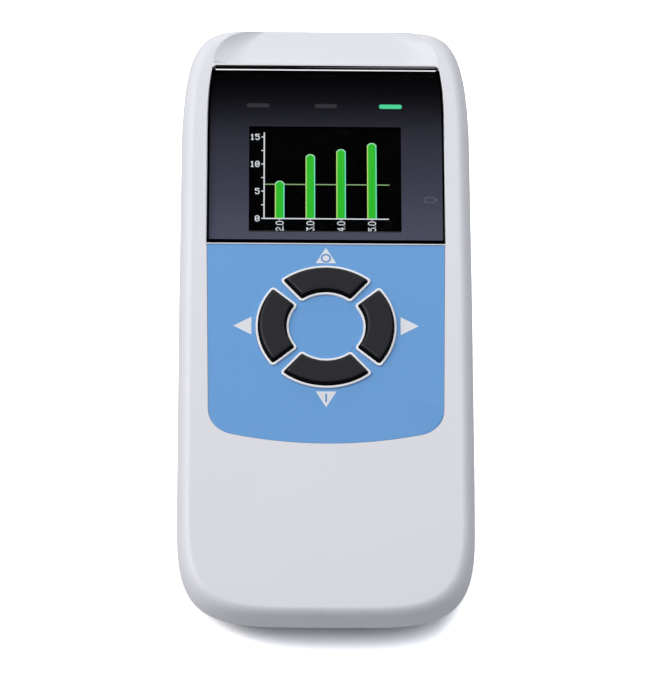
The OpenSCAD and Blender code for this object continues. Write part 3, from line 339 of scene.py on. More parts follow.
def at_opening(edge):
    """True for an edge between the level front and a wall of the window's seat."""
    if len(edge.link_faces) != 2 or any(abs(v.co.z - FRONT) > ON_FRONT for v in edge.verts):
        return False
    middle = middle_of(edge)
    beside = abs(middle.x) > window_high.x + OPENING_REACH
    if beside or not window_low.y - OPENING_REACH < middle.y < window_high.y + OPENING_REACH:
        return False
    return sorted(abs(f.normal.z) > LYING for f in edge.link_faces) == [False, True]


def at_scoop(edge):
    """True for an edge between the level front and the hollow beyond the window."""
    middle = middle_of(edge)
    if middle.y < window_high.y or abs(middle.x) > window_high.x + SCOOP_REACH:
        return False
    return sorted(f.normal.z > DEAD_LEVEL and abs(f.calc_center_median().z - FRONT) < ON_FRONT
                  for f in edge.link_faces) == [False, True]


opening = [e for e in shell.edges if at_opening(e)]
walls = {f for e in opening for f in e.link_faces if abs(f.normal.z) < LYING}
# The seat's walls get the gaskets' black: painted shade for the gap round the lens.
for face in walls:
    face.material_index = PAINTED_SHADE_SLOT
# The rounded edge of the opening takes the painted highlight.
bmesh.ops.bevel(shell, geom=opening, offset=OPENING_ROUND, offset_type="OFFSET", segments=2, profile=0.5,
                affect="EDGES", clamp_overlap=True, material=HIGHLIGHT_SLOT)
# The lips round the keys take the painted highlight too.
for face in shell.faces:
    middle = face.calc_center_median()
    if middle.z > FRONT - LIPS_DEPTH and math.hypot(middle.x, middle.y - RING_Y) < LIPS_REACH:
        face.material_index = HIGHLIGHT_SLOT
front_shell = add_piece("front_housing_finished", shell, white_abs, "casing", SHELL_CREASE)
# Slot 1 is the painted highlight, slot 2 the painted shade of the seat's walls.
front_shell.data.materials.append(white_painted_highlight)
front_shell.data.materials.append(foam_and_painted_shade)
creased = bmesh.new()
creased.from_mesh(front_shell.data)
scoop = [e for e in creased.edges if at_scoop(e)]
for edge in scoop:
    edge.smooth = False
creased.to_mesh(front_shell.data)
creased.free()
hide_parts("front_housing")
print("opening's edges", len(opening), "walls", len(walls), "scoop's edges", len(scoop))

# %% [markdown]
# ## The window lens
# The window is one piece of clear acrylic, cut at forty-five degrees along its far edge. Its sides and
# its far bevel are inked black, so no light leaks in there; the ink is dead black with no mirror, and on
# the far bevel that black is painted shade for the dark gap beyond the crest. The renderer treats it as
# real glass, so what lies under it looks lifted, as it does on the real one. The copy of the imported
# window gets a narrow facet along the crest in opaque white: a painted highlight, which shows as a fine
# white line. Its underside is raised by a hair for the ink.

# %% Lens materials
def clear_lens(name, colour, ior, polish):
    material, tree = new_material(name)
    place = add(tree, "ShaderNodeTexCoord").outputs["Object"]
    ripple = add(tree, "ShaderNodeTexNoise", inputs={
        "Vector": place, "Scale": per_metre(6.0), "Detail": 1.0}).outputs["Fac"]
    gloss = add(tree, "ShaderNodeMapRange", inputs={"Value": ripple, "To Min": polish, "To Max": polish * 2})
    shader = add(tree, "ShaderNodeBsdfPrincipled", inputs={
        "Base Color": linear(colour), "Roughness": gloss.outputs["Result"], "IOR": ior,
        "Transmission Weight": 1.0})
    add(tree, "ShaderNodeOutputMaterial", inputs={"Surface": shader.outputs["BSDF"]})
    return material


# Cast acrylic, polished: a clear grey tint, index 1.49.
lens_acrylic = clear_lens("acrylic_cast_polished", "f4f4f6", 1.49, 0.01)
# Ink on the lens's sides and far bevel: dead black with no mirror from the polish; on the far bevel this
# black is painted shade for the gap beyond the crest.
lens_ink_and_painted_shade = surface("ink_black_and_painted_shade_on_acrylic", "010101", "030303", 0.9, 0.4, 0.001, **{"Specular IOR Level": 0.0})
# Opaque white on the facet along the crest: a painted highlight, a fine white line.
lens_crest_painted_highlight = surface("acrylic_crest_painted_highlight", "fafafc", "f4f4f6", 0.4, 0.3, 0.002)

# %% Cut the lens
INK_ROOM = 0.03 * MM
CREST_FACET = 0.24 * MM
LEVEL = 0.99
CREST_Y, CREST_X = (0.3, 0.5), 0.2
CLEAR_SLOT, INK_AND_SHADE_SLOT, CREST_SLOT = 0, 1, 2

lens = merged("display_window")
bmesh.ops.dissolve_limit(lens, angle_limit=math.radians(1), verts=lens.verts, edges=lens.edges)
for vert in lens.verts:
    if vert.co.z < window_low.z + MERGE:
        vert.co.z += INK_ROOM
crest_y = max(v.co.y for v in lens.verts if v.co.z > window_high.z - MERGE)
crest = [e for e in lens.edges
         if all(v.co.z > window_high.z - MERGE and v.co.y > crest_y - MERGE for v in e.verts)]
bmesh.ops.bevel(lens, geom=crest, offset=CREST_FACET, offset_type="OFFSET", segments=1, profile=0.5,
                affect="EDGES", material=-1)
lens.normal_update()
# Crest faces get the painted highlight; the far bevel and sides get the ink, dead black as painted shade.
for face in lens.faces:
    on_crest = CREST_Y[0] < face.normal.y < CREST_Y[1] and abs(face.normal.x) < CREST_X
    on_level = abs(face.normal.z) > LEVEL
    face.material_index = CREST_SLOT if on_crest else CLEAR_SLOT if on_level else INK_AND_SHADE_SLOT
window_lens = add_piece("window_lens", lens, lens_acrylic, "casing", crease_deg=15)
window_lens.data.materials.append(lens_ink_and_painted_shade)
window_lens.data.materials.append(lens_crest_painted_highlight)
window_lens.visible_shadow = False
window_lens.visible_diffuse = False
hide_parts("display_window")
print("crest edges", len(crest), "crest at", round(crest_y / MM, 2))

# %% [markdown]
# ## The ink behind the lens
# The dark face of the window is screen-printed on the back of the lens. It leaves a clear opening for the
# display and three slots for the status lights. The ink's colour fades from black at the far end to slate
# at the near end: the fade is a painted reflection of the pale room, as the lens would mirror it. The
# outline comes from the lens itself: its underside is kept, drawn in a little, and filled again round the
# openings, which a scan fill does in one step. Then the sheet gets its thickness.

# %% Plates and slots
def box_plate(target, low, high):
    """A thin box between two corners, given in millimetres."""
    low, high = Vector(low) * MM, Vector(high) * MM
    centre, size = (low + high) / 2, high - low
    place = Matrix.Translation(centre) @ Matrix.Diagonal((*size, 1))
    return bmesh.ops.create_cube(target, size=1, matrix=place)["verts"]


def rounded_slot(target, centre, width, height, corner, z):
    """The outline of a slot with round corners, as a face in the plane z, in metres."""
    place = Matrix.Translation((centre[0], centre[1], z)) @ Matrix.Diagonal((width, height, 1, 1))
    made = bmesh.ops.create_grid(target, x_segments=1, y_segments=1, size=0.5, matrix=place)["verts"]
    if corner:
        bmesh.ops.bevel(target, geom=made, offset=corner, offset_type="OFFSET", segments=6, profile=0.5,
                        affect="VERTICES", material=-1)


def raise_sheet(target, thickness):
    """Gives a flat sheet its thickness upwards, and turns every face outwards."""
    grown = bmesh.ops.extrude_face_region(target, geom=target.faces[:])["geom"]
    raised = [g for g in grown if isinstance(g, bmesh.types.BMVert)]
    bmesh.ops.translate(target, verts=raised, vec=(0, 0, thickness))
    bmesh.ops.recalc_face_normals(target, faces=target.faces[:])


def ink_with_painted_reflection(name, stops, low_y, high_y, roughness):
    """Ink whose colour runs along Y through the given stops; here that run is a painted reflection."""
    material, tree = new_material(name)
    place = add(tree, "ShaderNodeTexCoord").outputs["Object"]
    along = add(tree, "ShaderNodeSeparateXYZ", inputs={"Vector": place}).outputs["Y"]
    share = add(tree, "ShaderNodeMapRange", inputs={"Value": along, "From Min": low_y, "From Max": high_y})
    ramp = add(tree, "ShaderNodeValToRGB", inputs={"Fac": share.outputs["Result"]})
    ramp.color_ramp.interpolation = "B_SPLINE"
    while len(ramp.color_ramp.elements) < len(stops):
        ramp.color_ramp.elements.new(0.5)
    for element, (position, colour) in zip(ramp.color_ramp.elements, stops):
        element.position, element.color = position, linear(colour)
    speckle = add(tree, "ShaderNodeTexNoise", inputs={
        "Vector": place, "Scale": per_metre(0.4), "Detail": 1.0}).outputs["Fac"]
    gloss = add(tree, "ShaderNodeMapRange", inputs={
        "Value": speckle, "To Min": roughness, "To Max": roughness + 0.15})
    shader = add(tree, "ShaderNodeBsdfPrincipled", inputs={
        "Base Color": ramp.outputs["Color"], "Roughness": gloss.outputs["Result"], "Specular IOR Level": 0.0})
    add(tree, "ShaderNodeOutputMaterial", inputs={"Surface": shader.outputs["BSDF"]})
    return material


# %% Print the ink
SCREEN_W, SCREEN_H, SCREEN_CORNER = 34.0 * MM, 27.6 * MM, 0.2 * MM
SCREEN_SHIFT = Vector((-0.15, -0.43)) * MM
SLOT_SHIFT = {
    "left": Vector((-0.2, -0.12)) * MM,
    "middle": Vector((0, -0.2)) * MM,
    "right": Vector((-0.45, -0.3)) * MM,
}
SLOT_W, SLOT_H, SLOT_CORNER = 5.1 * MM, 1.15 * MM, 0.45 * MM
INK_T = 0.02 * MM
INK_GAP = 0.005 * MM
INK_Z = window_low.z + INK_GAP
INK_IN = 0.05 * MM
INK_ROUGHNESS = 0.6

guides = {side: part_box("light_guide_" + side) for side in ("left", "middle", "right", "charge")}
slots = {side: ((low.x + high.x) / 2, (low.y + high.y) / 2) for side, (low, high) in guides.items()}

ink = merged("display_window")
above = [v for v in ink.verts if v.co.z > window_low.z + MERGE]
bmesh.ops.delete(ink, geom=above, context="VERTS")
bmesh.ops.dissolve_faces(ink, faces=ink.faces[:])
rim = bmesh.ops.inset_region(ink, faces=ink.faces[:], thickness=INK_IN, use_even_offset=True)["faces"]
bmesh.ops.delete(ink, geom=rim, context="FACES")
for vert in ink.verts:
    vert.co.z = INK_Z
rounded_slot(ink, SCREEN_SHIFT + Vector((0, SCREEN_Y)), SCREEN_W, SCREEN_H, SCREEN_CORNER, INK_Z)
for side, shift in SLOT_SHIFT.items():
    rounded_slot(ink, shift + Vector(slots[side]), SLOT_W, SLOT_H, SLOT_CORNER, INK_Z)
bmesh.ops.delete(ink, geom=ink.faces[:], context="FACES_ONLY")
bmesh.ops.triangle_fill(ink, edges=ink.edges[:], use_beauty=True, normal=(0, 0, 1))
raise_sheet(ink, INK_T)
# Matt ink, slate at the near end and black at the far end: a painted reflection. It mirrors nothing itself.
painted_reflection_stops = ((0.0, "5c5e70"), (0.28, "484a59"), (0.6, "393943"), (0.79, "111115"), (1.0, "020202"))
window_ink_painted_reflection = ink_with_painted_reflection("ink_slate_to_black_painted_reflection", painted_reflection_stops, window_low.y, window_high.y, INK_ROUGHNESS)
back_print = add_piece("window_back_print", ink, window_ink_painted_reflection, "casing", weighted=False)
print("ink sheet", len(back_print.data.polygons), "faces")
print("status slots at x", [round(slots[side][0] / MM, 1) for side in SLOT_SHIFT])

# %% [markdown]
# ## Status lights
# Behind the slots stand clear light guides. The right one is lit green, and the others are dark. A small
# battery outline marks the charging light. It is printed beside the display in an ink only a little
# lighter than the ground, so it shows when the light behind it is on, and hardly shows when it is off.

# %% Light the guides
LIT_SIDE = "right"
# The lit guide: an even green glow that fills its slot.
lit_green = surface("acrylic_lit_green", "1c3a2b", "18352a", 0.3, 1.0, 0.001, **{
    "Emission Color": linear("4be3a0"), "Emission Strength": 0.95})
# The unlit guides: a dull grey, so their slots hardly stand out from the ink.
unlit_grey = surface("acrylic_unlit_behind_ink", "3b3a40", "36353b", 0.4, 1.0, 0.001,
                     **{"Specular IOR Level": 0.1})
for side in guides:
    nodes["light_guide_" + side].data.materials[0] = lit_green if side == LIT_SIDE else unlit_grey

MARK_W, MARK_H, MARK_STROKE, MARK_CORNER = 2.6 * MM, 1.5 * MM, 0.22 * MM, 0.45 * MM
NUB_W, NUB_H = 0.3 * MM, 0.6 * MM
MARK_T = 0.004 * MM
# The charge mark's ink: matt grey, a little lighter than the slate round it.
mark_ink = surface("ink_grey_faint", "6c6d7c", "676877", 0.6, 0.4, 0.001, **{"Specular IOR Level": 0.0})
mark = bmesh.new()
mark_x, mark_y = slots["charge"]
MARK_Z = INK_Z + INK_T
for inside in (0, MARK_STROKE):
    width, height = MARK_W - 2 * inside, MARK_H - 2 * inside
    rounded_slot(mark, (mark_x, mark_y), width, height, MARK_CORNER - inside, MARK_Z)
bmesh.ops.delete(mark, geom=mark.faces[:], context="FACES_ONLY")
bmesh.ops.bridge_loops(mark, edges=mark.edges[:])
rounded_slot(mark, (mark_x + (MARK_W + NUB_W) / 2, mark_y), NUB_W, NUB_H, 0, MARK_Z)
raise_sheet(mark, MARK_T)
charge_mark = add_piece("charge_mark", mark, mark_ink, "casing", weighted=False)
print("lit:", LIT_SIDE, "mark at", round(mark_x / MM, 1), round(mark_y / MM, 1))

# %% [markdown]
# ## What the display shows
# The display is a small colour panel that shows four test results as bars over a scale, with a pass level
# drawn across. Its dots are too fine to count in a photograph, but the numbers are built from a coarse
# five by seven grid, as on such panels. Each run of lit dots is one thin plate on the glass, so the
# numbers stay sharp at any distance and need no image.

# %% Lit dots
STRIPE_MM, STRIPE_STRETCH = 0.5, (1, 0.08, 1)
DOT_GLOW = 1.0


def lit_dots(name, colour, drift):
    """Glowing dots whose colour varies in fine stripes along Y, as the panel's columns do."""
    material, tree = new_material(name)
    place = add(tree, "ShaderNodeTexCoord").outputs["Object"]
    stretched = add(tree, "ShaderNodeMapping", inputs={
        "Vector": place, "Scale": STRIPE_STRETCH}).outputs["Vector"]
    columns = add(tree, "ShaderNodeTexNoise", inputs={
        "Vector": stretched, "Scale": per_metre(STRIPE_MM), "Detail": 1.0}).outputs["Fac"]
    tint = add(tree, "ShaderNodeMix", {"data_type": "RGBA"})
    tree.links.new(columns, tint.inputs[0])
    tint.inputs[6].default_value = linear(colour)
    tint.inputs[7].default_value = linear(drift)
    shader = add(tree, "ShaderNodeBsdfPrincipled", inputs={
        "Base Color": linear("050505"), "Roughness": 0.5, "Specular IOR Level": 0.0,
        "Emission Color": tint.outputs[2], "Emission Strength": DOT_GLOW})
    add(tree, "ShaderNodeOutputMaterial", inputs={"Surface": shader.outputs["BSDF"]})
    return material


# Scale and numbers: a cool white.
dots_white = lit_dots("display_dots_white", "eef4f6", "dfe8ee")
# Inside of the bars: a full green, the strongest colour on the panel.
dots_green = lit_dots("display_dots_green", "1cc02c", "48cf38")
# Left edges of the bars: a light yellowish green.
dots_lime = lit_dots("display_dots_lime", "cdf08a", "c0ec80")
# Right edges of the bars: a light bluish green, cooler than the left ones.
dots_aqua = lit_dots("display_dots_aqua", "74f5d0", "88f5da")
# Ends of the bars: a pale green between the two edge colours.
dots_mint = lit_dots("display_dots_mint", "b4f2c8", "a8eec0")
# Pass level: a duller green, so the line stays behind the bars.
dots_level = lit_dots("display_dots_level", "8fb878", "9cc487")

# The picture's own sizes are in millimetres.
GLASS_TOP = panel_high.z / MM
LAYER = 0.02
SCALE_X = -13.76
SCALE_ZERO, SCALE_STEP = SCREEN_Y / MM - 10.47, 7.12
SCALE_TOP = SCALE_ZERO + 22.55
BASE_X = 14.05
STROKE, FINE_STROKE, TICK, BAR_TICK = 0.28, 0.24, 0.5, 0.3
HALF, FINE_HALF = STROKE / 2, FINE_STROKE / 2
AXIS_LEFT, AXIS_RIGHT = SCALE_X - HALF, SCALE_X + HALF
AXIS_FOOT = SCALE_ZERO - HALF
BAR_XS = [-10.28, -3.44, 3.42, 10.3]
BAR_TOPS = [SCALE_ZERO + h for h in (9.82, 16.87, 18.25, 19.92)]
BAR_HALF, BAR_EDGE, BAR_CUT = 1.06, 0.24, 0.62
BAR_MARGIN = 0.1
FACING_FAR = 0.9
LEVEL_Y, LEVEL_PAST = SCALE_ZERO + 8.93, 0.15


def layer(n):
    """Bottom and top of the nth layer of dots above the glass, in millimetres."""
    return GLASS_TOP + LAYER * n, GLASS_TOP + LAYER * (n + 1)


def finish_dots(name, target, material):
    piece = add_piece(name, target, material, "casing", weighted=False)


# %% Scale and pass level
scale = bmesh.new()
z0, z1 = layer(0)
box_plate(scale, (AXIS_LEFT, AXIS_FOOT, z0), (AXIS_RIGHT, SCALE_TOP, z1))
box_plate(scale, (AXIS_RIGHT, AXIS_FOOT, z0), (BASE_X, SCALE_ZERO + HALF, z1))
for half_step in range(7):
    y = SCALE_ZERO + SCALE_STEP * half_step / 2
    box_plate(scale, (AXIS_LEFT - TICK, y - FINE_HALF, z0), (AXIS_LEFT, y + FINE_HALF, z1))
for x in BAR_XS:
    box_plate(scale, (x - FINE_HALF, AXIS_FOOT - BAR_TICK, z0), (x + FINE_HALF, AXIS_FOOT, z1))
finish_dots("display_scale", scale, dots_white)

level_line = bmesh.new()
box_plate(level_line, (AXIS_RIGHT, LEVEL_Y - FINE_HALF, z0), (BASE_X + LEVEL_PAST, LEVEL_Y + FINE_HALF, z1))
finish_dots("display_level_line", level_line, dots_level)
print("scale from", round(SCALE_ZERO, 2), "to", round(SCALE_TOP, 2), "mm")

# %% Bars
def bar(target, x, top, half, cut, n):
    """A bar whose top corners are cut: the face at its far end is drawn in after a short extrusion."""
    z_low, z_high = layer(n)
    bottom = SCALE_ZERO + HALF
    verts = box_plate(target, (x - half, bottom, z_low), (x + half, top - cut, z_high))
    far = [f for f in {f for v in verts for f in v.link_faces} if f.normal.y > FACING_FAR]
    grown = bmesh.ops.extrude_face_region(target, geom=far)["geom"]
    tip = [g for g in grown if isinstance(g, bmesh.types.BMVert)]
    bmesh.ops.delete(target, geom=far, context="FACES_ONLY")
    for vert in tip:
        vert.co.y += cut * MM
        vert.co.x += cut * MM if vert.co.x < x * MM else -cut * MM


def cut_bar(target, x, point, away):
    """Cuts the bar at x through a point, drops the side that away points to, and fills the cut."""
    own = [v for v in target.verts if abs(v.co.x / MM - x) < BAR_HALF + BAR_MARGIN]
    near = {f for v in own for f in v.link_faces}
    edges = {e for f in near for e in f.edges}
    cut = bmesh.ops.bisect_plane(target, geom=own + list(edges) + list(near), plane_co=point, plane_no=away,
                                 clear_outer=True)["geom_cut"]
    bmesh.ops.contextual_create(target, geom=[g for g in cut if isinstance(g, bmesh.types.BMEdge)])


def bar_cap(target, x, top, n):
    """The light outline over a bar's end: a short bar of the full width, cut off below the corners."""
    bar(target, x, top, BAR_HALF, BAR_CUT, n)
    cut_bar(target, x, (0, (top - BAR_CUT - BAR_MARGIN) * MM, 0), (0, -1, 0))


bar_bodies, bar_limes, bar_aquas, bar_caps = bmesh.new(), bmesh.new(), bmesh.new(), bmesh.new()
for x, top in zip(BAR_XS, BAR_TOPS):
    bar_cap(bar_caps, x, top, 1)
    bar(bar_limes, x - BAR_EDGE / 2, top, BAR_HALF - BAR_EDGE / 2, BAR_CUT, 0)
    bar(bar_aquas, x + BAR_EDGE / 2, top, BAR_HALF - BAR_EDGE / 2, BAR_CUT, 0)
    bar(bar_bodies, x, top - BAR_EDGE, BAR_HALF - BAR_EDGE, BAR_CUT - BAR_EDGE / 3, 2)
for made in (bar_limes, bar_aquas):
    made.normal_update()
# The two edge colours meet on the bar's middle line, so each keeps only its own half.
for x in BAR_XS:
    for made, side in ((bar_limes, 1), (bar_aquas, -1)):
        cut_bar(made, x, (x * MM, 0, 0), (side, 0, 0))
for made in (bar_bodies, bar_limes, bar_aquas, bar_caps):
    bmesh.ops.recalc_face_normals(made, faces=made.faces[:])
finish_dots("display_bars", bar_bodies, dots_green)
finish_dots("display_bar_edges_left", bar_limes, dots_lime)
finish_dots("display_bar_edges_right", bar_aquas, dots_aqua)
finish_dots("display_bar_caps", bar_caps, dots_mint)

# %% Numbers
GLYPHS = {
    "0": "01110 10001 10001 10001 10001 10001 01110",
    "/0": "01110 10001 10011 10101 11001 10001 01110",
    "1": "00100 01100 00100 00100 00100 00100 01110",
    "2": "01110 10001 00001 00110 01000 10000 11111",
    "3": "11111 00010 00100 00010 00001 10001 01110",
    "4": "00010 00110 01010 10010 11111 00010 00010",
    "5": "11111 10000 11110 00001 00001 10001 01110",
    ".": "0 0 0 0 0 0 1",
}


def runs(row):
    """Start and end of each run of lit dots in a row."""
    start = None
    for i, dot in enumerate(row + "0"):
        if dot == "1" and start is None:
            start = i
        elif dot != "1" and start is not None:
            yield start, i
            start = None


def write(target, letters, place, dot_w, dot_h, weight=0.0, turned=False):
    """Draws letters from the point place, in millimetres; turned letters read upwards."""
    x, y = place
    z_low, z_high = layer(0)
    pen = 0
    for letter in letters:
        rows = GLYPHS[letter].split()
        for line, row in enumerate(rows):
            for start, end in runs(row):
                u0, u1 = (pen + start) * dot_w, (pen + end + weight) * dot_w
                v0, v1 = (len(rows) - 1 - line) * dot_h, (len(rows) - line) * dot_h
                if turned:
                    box_plate(target, (x - v1, y + u0, z_low), (x - v0, y + u1, z_high))
                else:
                    box_plate(target, (x + u0, y + v0, z_low), (x + u1, y + v1, z_high))
        pen += len(rows[0]) + 1


DOT_W, DOT_H = 0.19, 0.225
TURNED_W, TURNED_H = 0.2, 0.25
# The upright numbers are a little heavier: each run of dots is drawn out by this share of a dot.
WEIGHT = 0.4
# In dots: from one number to the next, half a number's height, and the length of one such as 2.0.
PITCH, HALF_HIGH, TURNED_LONG = 6, 3.5, 13
NUMBERS_END = -14.85
TURNED_END = SCALE_ZERO - 0.65
numbers = bmesh.new()
for i, letters in enumerate((["/0"], ["5"], ["1", "/0"], ["1", "5"])):
    width = (PITCH * len(letters) - 1) * DOT_W
    corner = (NUMBERS_END - width, SCALE_ZERO + SCALE_STEP * i - HALF_HIGH * DOT_H)
    write(numbers, letters, corner, DOT_W, DOT_H, weight=WEIGHT)
for x, letters in zip(BAR_XS, ("2.0", "3.0", "4.0", "5.0")):
    corner = (x + HALF_HIGH * TURNED_H, TURNED_END - TURNED_LONG * TURNED_W)
    write(numbers, letters, corner, TURNED_W, TURNED_H, turned=True)
finish_dots("display_numbers", numbers, dots_white)

# %% [markdown]
# ## The keys
# Four rubber keys share a ring. Each is moulded with walls that lean in and a rim that is rounded between
# thumb and top. The imported key has that rim as a plain chamfer, so the copy merges its flat triangles
# back to whole faces and bevels the two edges of the chamfer in steps, and the rim turns smoothly. The
# chamfer's lower edge is lifted a little first, so the rounded rim stays narrow. The walls and the steep
# part of the rim are painted a flatter, deeper black: painted shade for the gap between key and lip. A
# very low dome is left out: the real tops look level.

# %% Round the keys' rims
RIM_LIFT = 0.12 * MM
RIM_BEVEL = 0.15 * MM
RIM_STEPS = 3
FLAT_DEG, KEY_CREASE = 0.6, 35
SHADED_BELOW = 0.62
COATED_SLOT, SHADED_SLOT = 0, 1


def level_edges(key, level):
    """The edges that lie wholly at one height, in millimetres."""
    return [e for e in key.edges if all(round(v.co.z / MM, 3) == level for v in e.verts)]


def key_piece(name):
    _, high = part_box(name)
    key = merged(name)
    bmesh.ops.dissolve_limit(key, angle_limit=math.radians(FLAT_DEG), verts=key.verts, edges=key.edges)
    levels = sorted({round(v.co.z / MM, 3) for v in key.verts if v.co.z > FRONT})
    top_edges, rim_edges = level_edges(key, levels[-1]), level_edges(key, levels[-2])
    for vert in {v for e in rim_edges for v in e.verts}:
        vert.co.z += RIM_LIFT
    bmesh.ops.bevel(key, geom=top_edges + rim_edges, offset=RIM_BEVEL, offset_type="OFFSET",
                    segments=RIM_STEPS, profile=0.5, affect="EDGES", clamp_overlap=True, material=-1)
    key.normal_update()
    # Steep faces and faces below the front get the painted shade.
    for face in key.faces:
        in_shade = face.normal.z < SHADED_BELOW or face.calc_center_median().z < FRONT
        face.material_index = SHADED_SLOT if in_shade else COATED_SLOT
    piece = add_piece(name + "_rubber", key, key_rubber, name + "_body", crease_deg=KEY_CREASE)
    piece.data.materials.append(key_rubber_painted_shade)
    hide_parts(name)
    print(name, "stands", round((high.z - FRONT) / MM, 2), "mm proud,", len(piece.data.polygons), "faces")


for side in ("up", "down", "left", "right"):
    key_piece("key_" + side)

# %% [markdown]
# ## Marks on the label
# White triangles point out from the ring. The upper one carries a ring and the lower one a bar, the usual
# signs for off and on. They are printed on the label as one ink over another, so each is a very thin
# plate.

# %% Print the marks
TRIANGLE_BASE, TRIANGLE_TIP, TRIANGLE_HALF = 16.45 * MM, 20.45 * MM, 2.28 * MM
SIGN_R, SIGN_RING = 1.14 * MM, 0.4 * MM
SIGN_AT = 17.72 * MM
BAR_FROM, BAR_TO, BAR_W = 16.9 * MM, 19.0 * MM, 0.4 * MM
PRINT_T = 0.015 * MM
SIGN_Z = label_high.z + PRINT_T
# Each triangle's turn in degrees, and how far towards the probe end it stands from its even place.
TRIANGLE_TURNS = ((0, 0), (90, 0.28 * MM), (180, 0.15 * MM), (270, 0.42 * MM))

# Opaque white ink on the film: clean, with the film's own half-matt sheen.
white_ink = surface("ink_white_screen_printed", "e6e8ee", "e1e4ea", 0.5, 0.25, 0.002)
# Blue ink over the white: a little deeper than the film, so the signs read as holes in the triangles.
blue_ink = surface("ink_blue_screen_printed", "5f97d0", "5a92cc", 0.5, 0.25, 0.002)

triangles = bmesh.new()
for turn, shift in TRIANGLE_TURNS:
    corners = [triangles.verts.new((x, y, label_high.z)) for x, y in
               ((-TRIANGLE_HALF, TRIANGLE_BASE), (TRIANGLE_HALF, TRIANGLE_BASE), (0, TRIANGLE_TIP))]
    triangles.faces.new(corners)
    turning = Matrix.Rotation(math.radians(turn), 3, "Z")
    bmesh.ops.rotate(triangles, verts=corners, cent=(0, 0, 0), matrix=turning)
    bmesh.ops.translate(triangles, verts=corners, vec=(0, shift, 0))
bmesh.ops.translate(triangles, verts=triangles.verts[:], vec=(0, RING_Y, 0))
raise_sheet(triangles, PRINT_T)
add_piece("label_triangles", triangles, white_ink, "casing", weighted=False)

signs = bmesh.new()
for radius in (SIGN_R, SIGN_R - SIGN_RING):
    bmesh.ops.create_circle(signs, cap_ends=False, segments=48, radius=radius,
                            matrix=Matrix.Translation((0, RING_Y + SIGN_AT, SIGN_Z)))
bmesh.ops.bridge_loops(signs, edges=signs.edges[:])
rounded_slot(signs, (0, RING_Y - (BAR_FROM + BAR_TO) / 2), BAR_W, BAR_TO - BAR_FROM, 0, SIGN_Z)
raise_sheet(signs, PRINT_T)
add_piece("label_signs", signs, blue_ink, "casing", weighted=False)

# %% [markdown]
# ## Light
# A product picture of white plastic needs soft light from above and behind, a brighter side, and little
# light from the other side, so that the edges turn from bright to grey. Each lamp is a soft box that
# faces the device.

# %% Soft boxes
AIM = Vector((0, 0, 0.02))


def soft_box(name, place, width, height, watts, colour=(1, 1, 1), mirrored=True):
    data = bpy.data.lights.new(name, "AREA")
    data.shape = "RECTANGLE"
    data.size, data.size_y = width, height
    data.energy = watts
    data.color = colour
    lamp = bpy.data.objects.new(name, data)
    lamp.location = place
    lamp.rotation_mode = "QUATERNION"
    lamp.rotation_quaternion = (AIM - Vector(place)).to_track_quat("-Z", "Y")
    lamp.visible_glossy = lamp.visible_transmission = mirrored
    bpy.context.scene.collection.objects.link(lamp)


# Large, high and on the left: it gives the front its white, and the left sides their brightness.
soft_box("key_light", (-0.95, 0.30, 0.92), 0.8, 0.8, 9.3, colour=(1, 0.98, 0.965))
# Near and above the probe end, so its light falls off towards the dock end. The window must not mirror it.
soft_box("top_light", (0.06, 0.16, 0.42), 0.3, 0.3, 0.56, mirrored=False)
# A low strip behind the device: it skims the far edges and the facet along the lens's crest.
soft_box("crest_light", (0.02, 1.24, 0.345), 0.6, 0.08, 1.2)

# The room gives a dim, even light. Where it is seen, mirrored or looked at through a lens, it is white.
AMBIENT, BACKDROP = 0.35, 1.0
world = bpy.data.worlds.new("studio")
bpy.context.scene.world = world
world.use_nodes = True
sky = world.node_tree
sky.nodes.clear()
rays = add(sky, "ShaderNodeLightPath")
seen = add(sky, "ShaderNodeMath", {"operation": "MAXIMUM"})
sky.links.new(rays.outputs["Is Camera Ray"], seen.inputs[0])
sky.links.new(rays.outputs["Is Glossy Ray"], seen.inputs[1])
seen_through = add(sky, "ShaderNodeMath", {"operation": "MAXIMUM"})
sky.links.new(seen.outputs[0], seen_through.inputs[0])
sky.links.new(rays.outputs["Is Transmission Ray"], seen_through.inputs[1])
ambient = add(sky, "ShaderNodeBackground", inputs={"Color": linear("eef1f6"), "Strength": AMBIENT})
backdrop = add(sky, "ShaderNodeBackground", inputs={"Color": (1, 1, 1, 1), "Strength": BACKDROP})
sky_mix = add(sky, "ShaderNodeMixShader", inputs={"Fac": seen_through.outputs[0]})
sky.links.new(ambient.outputs[0], sky_mix.inputs[1])
sky.links.new(backdrop.outputs[0], sky_mix.inputs[2])
add(sky, "ShaderNodeOutputWorld", inputs={"Surface": sky_mix.outputs[0]})

# %% [markdown]
# ## A black flag
# A polished lens mirrors the pale room, and looks grey. Photographers hang a black card where the lens
# mirrors it. This card is only there for mirror rays and for rays that come back out of the lens: it
# casts no shadow, and the camera doesn't see it.

# %% Hang the flag
FLAG_PLACE, FLAG_HALF = Vector((0.009, 0.345, 0.550)), 0.09
flag_bm = bmesh.new()
bmesh.ops.create_grid(flag_bm, x_segments=1, y_segments=1, size=FLAG_HALF)
flag_mesh = bpy.data.meshes.new("black_flag")
flag_bm.to_mesh(flag_mesh)
flag_bm.free()
flag = bpy.data.objects.new("black_flag", flag_mesh)
flag.rotation_mode = "QUATERNION"
flag.rotation_quaternion = (Vector((0, SCREEN_Y, FRONT)) - FLAG_PLACE).to_track_quat("Z", "Y")
flag.location = FLAG_PLACE
bpy.context.scene.collection.objects.link(flag)
flag.visible_camera = flag.visible_diffuse = flag.visible_shadow = False
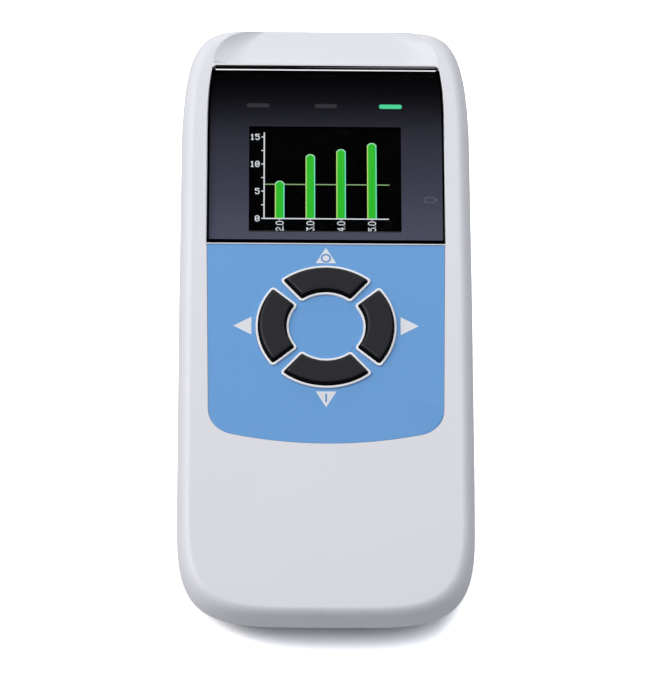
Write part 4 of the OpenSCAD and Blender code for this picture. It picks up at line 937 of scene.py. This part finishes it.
# Felt: it returns no light at all, so a lens that mirrors it looks dark.
felt, felt_tree = new_material("felt_black")
felt_matt = add(felt_tree, "ShaderNodeBsdfDiffuse", inputs={"Color": (0, 0, 0, 1)})
add(felt_tree, "ShaderNodeOutputMaterial", inputs={"Surface": felt_matt.outputs[0]})
flag_mesh.materials.append(felt)
print("flag", 2 * FLAG_HALF, "m across")

# %% [markdown]
# ## The floor
# A white sheet under the device. The camera sees it lifted towards pure white, as a studio sweep is in
# print, while the light it throws back on the device is that of plain paper. The lift fades where the
# device stands close over the paper, which paints a contact shadow into the paper: a painted shadow
# that darkens the real one there.

# %% Floor sheet
FLOOR_SIZE = 6.0
FLOOR_LIFT = 4.4
CONTACT_REACH = 7 * MM
CONTACT_POWER = 2.2
CONTACT_SAMPLES = 8
floor_bm = bmesh.new()
bmesh.ops.create_grid(floor_bm, x_segments=1, y_segments=1, size=FLOOR_SIZE / 2)
floor_mesh = bpy.data.meshes.new("floor")
floor_bm.to_mesh(floor_mesh)
floor_bm.free()
floor = bpy.data.objects.new("floor", floor_mesh)
bpy.context.scene.collection.objects.link(floor)
# Paper: flat white, with no gloss. Only camera rays get the lifted white.
paper, paper_tree = new_material("paper_sweep_white")
paper_rays = add(paper_tree, "ShaderNodeLightPath")
paper_matt = add(paper_tree, "ShaderNodeBsdfDiffuse", inputs={"Color": linear("dcdcde")})
# The occlusion near the device lowers the lift: a painted contact shadow.
open_sky = add(paper_tree, "ShaderNodeAmbientOcclusion", {"samples": CONTACT_SAMPLES},
               {"Distance": CONTACT_REACH}).outputs["AO"]
painted_contact_shadow = add(paper_tree, "ShaderNodeMath", {"operation": "POWER"})
paper_tree.links.new(open_sky, painted_contact_shadow.inputs[0])
painted_contact_shadow.inputs[1].default_value = CONTACT_POWER
lifted = add(paper_tree, "ShaderNodeMath", {"operation": "MULTIPLY"})
paper_tree.links.new(painted_contact_shadow.outputs[0], lifted.inputs[0])
lifted.inputs[1].default_value = FLOOR_LIFT
paper_bright = add(paper_tree, "ShaderNodeBsdfDiffuse", inputs={"Color": lifted.outputs[0]})
paper_mix = add(paper_tree, "ShaderNodeMixShader", inputs={"Fac": paper_rays.outputs["Is Camera Ray"]})
paper_tree.links.new(paper_matt.outputs[0], paper_mix.inputs[1])
paper_tree.links.new(paper_bright.outputs[0], paper_mix.inputs[2])
add(paper_tree, "ShaderNodeOutputMaterial", inputs={"Surface": paper_mix.outputs[0]})
floor_mesh.materials.append(paper)
print("floor", FLOOR_SIZE, "m")
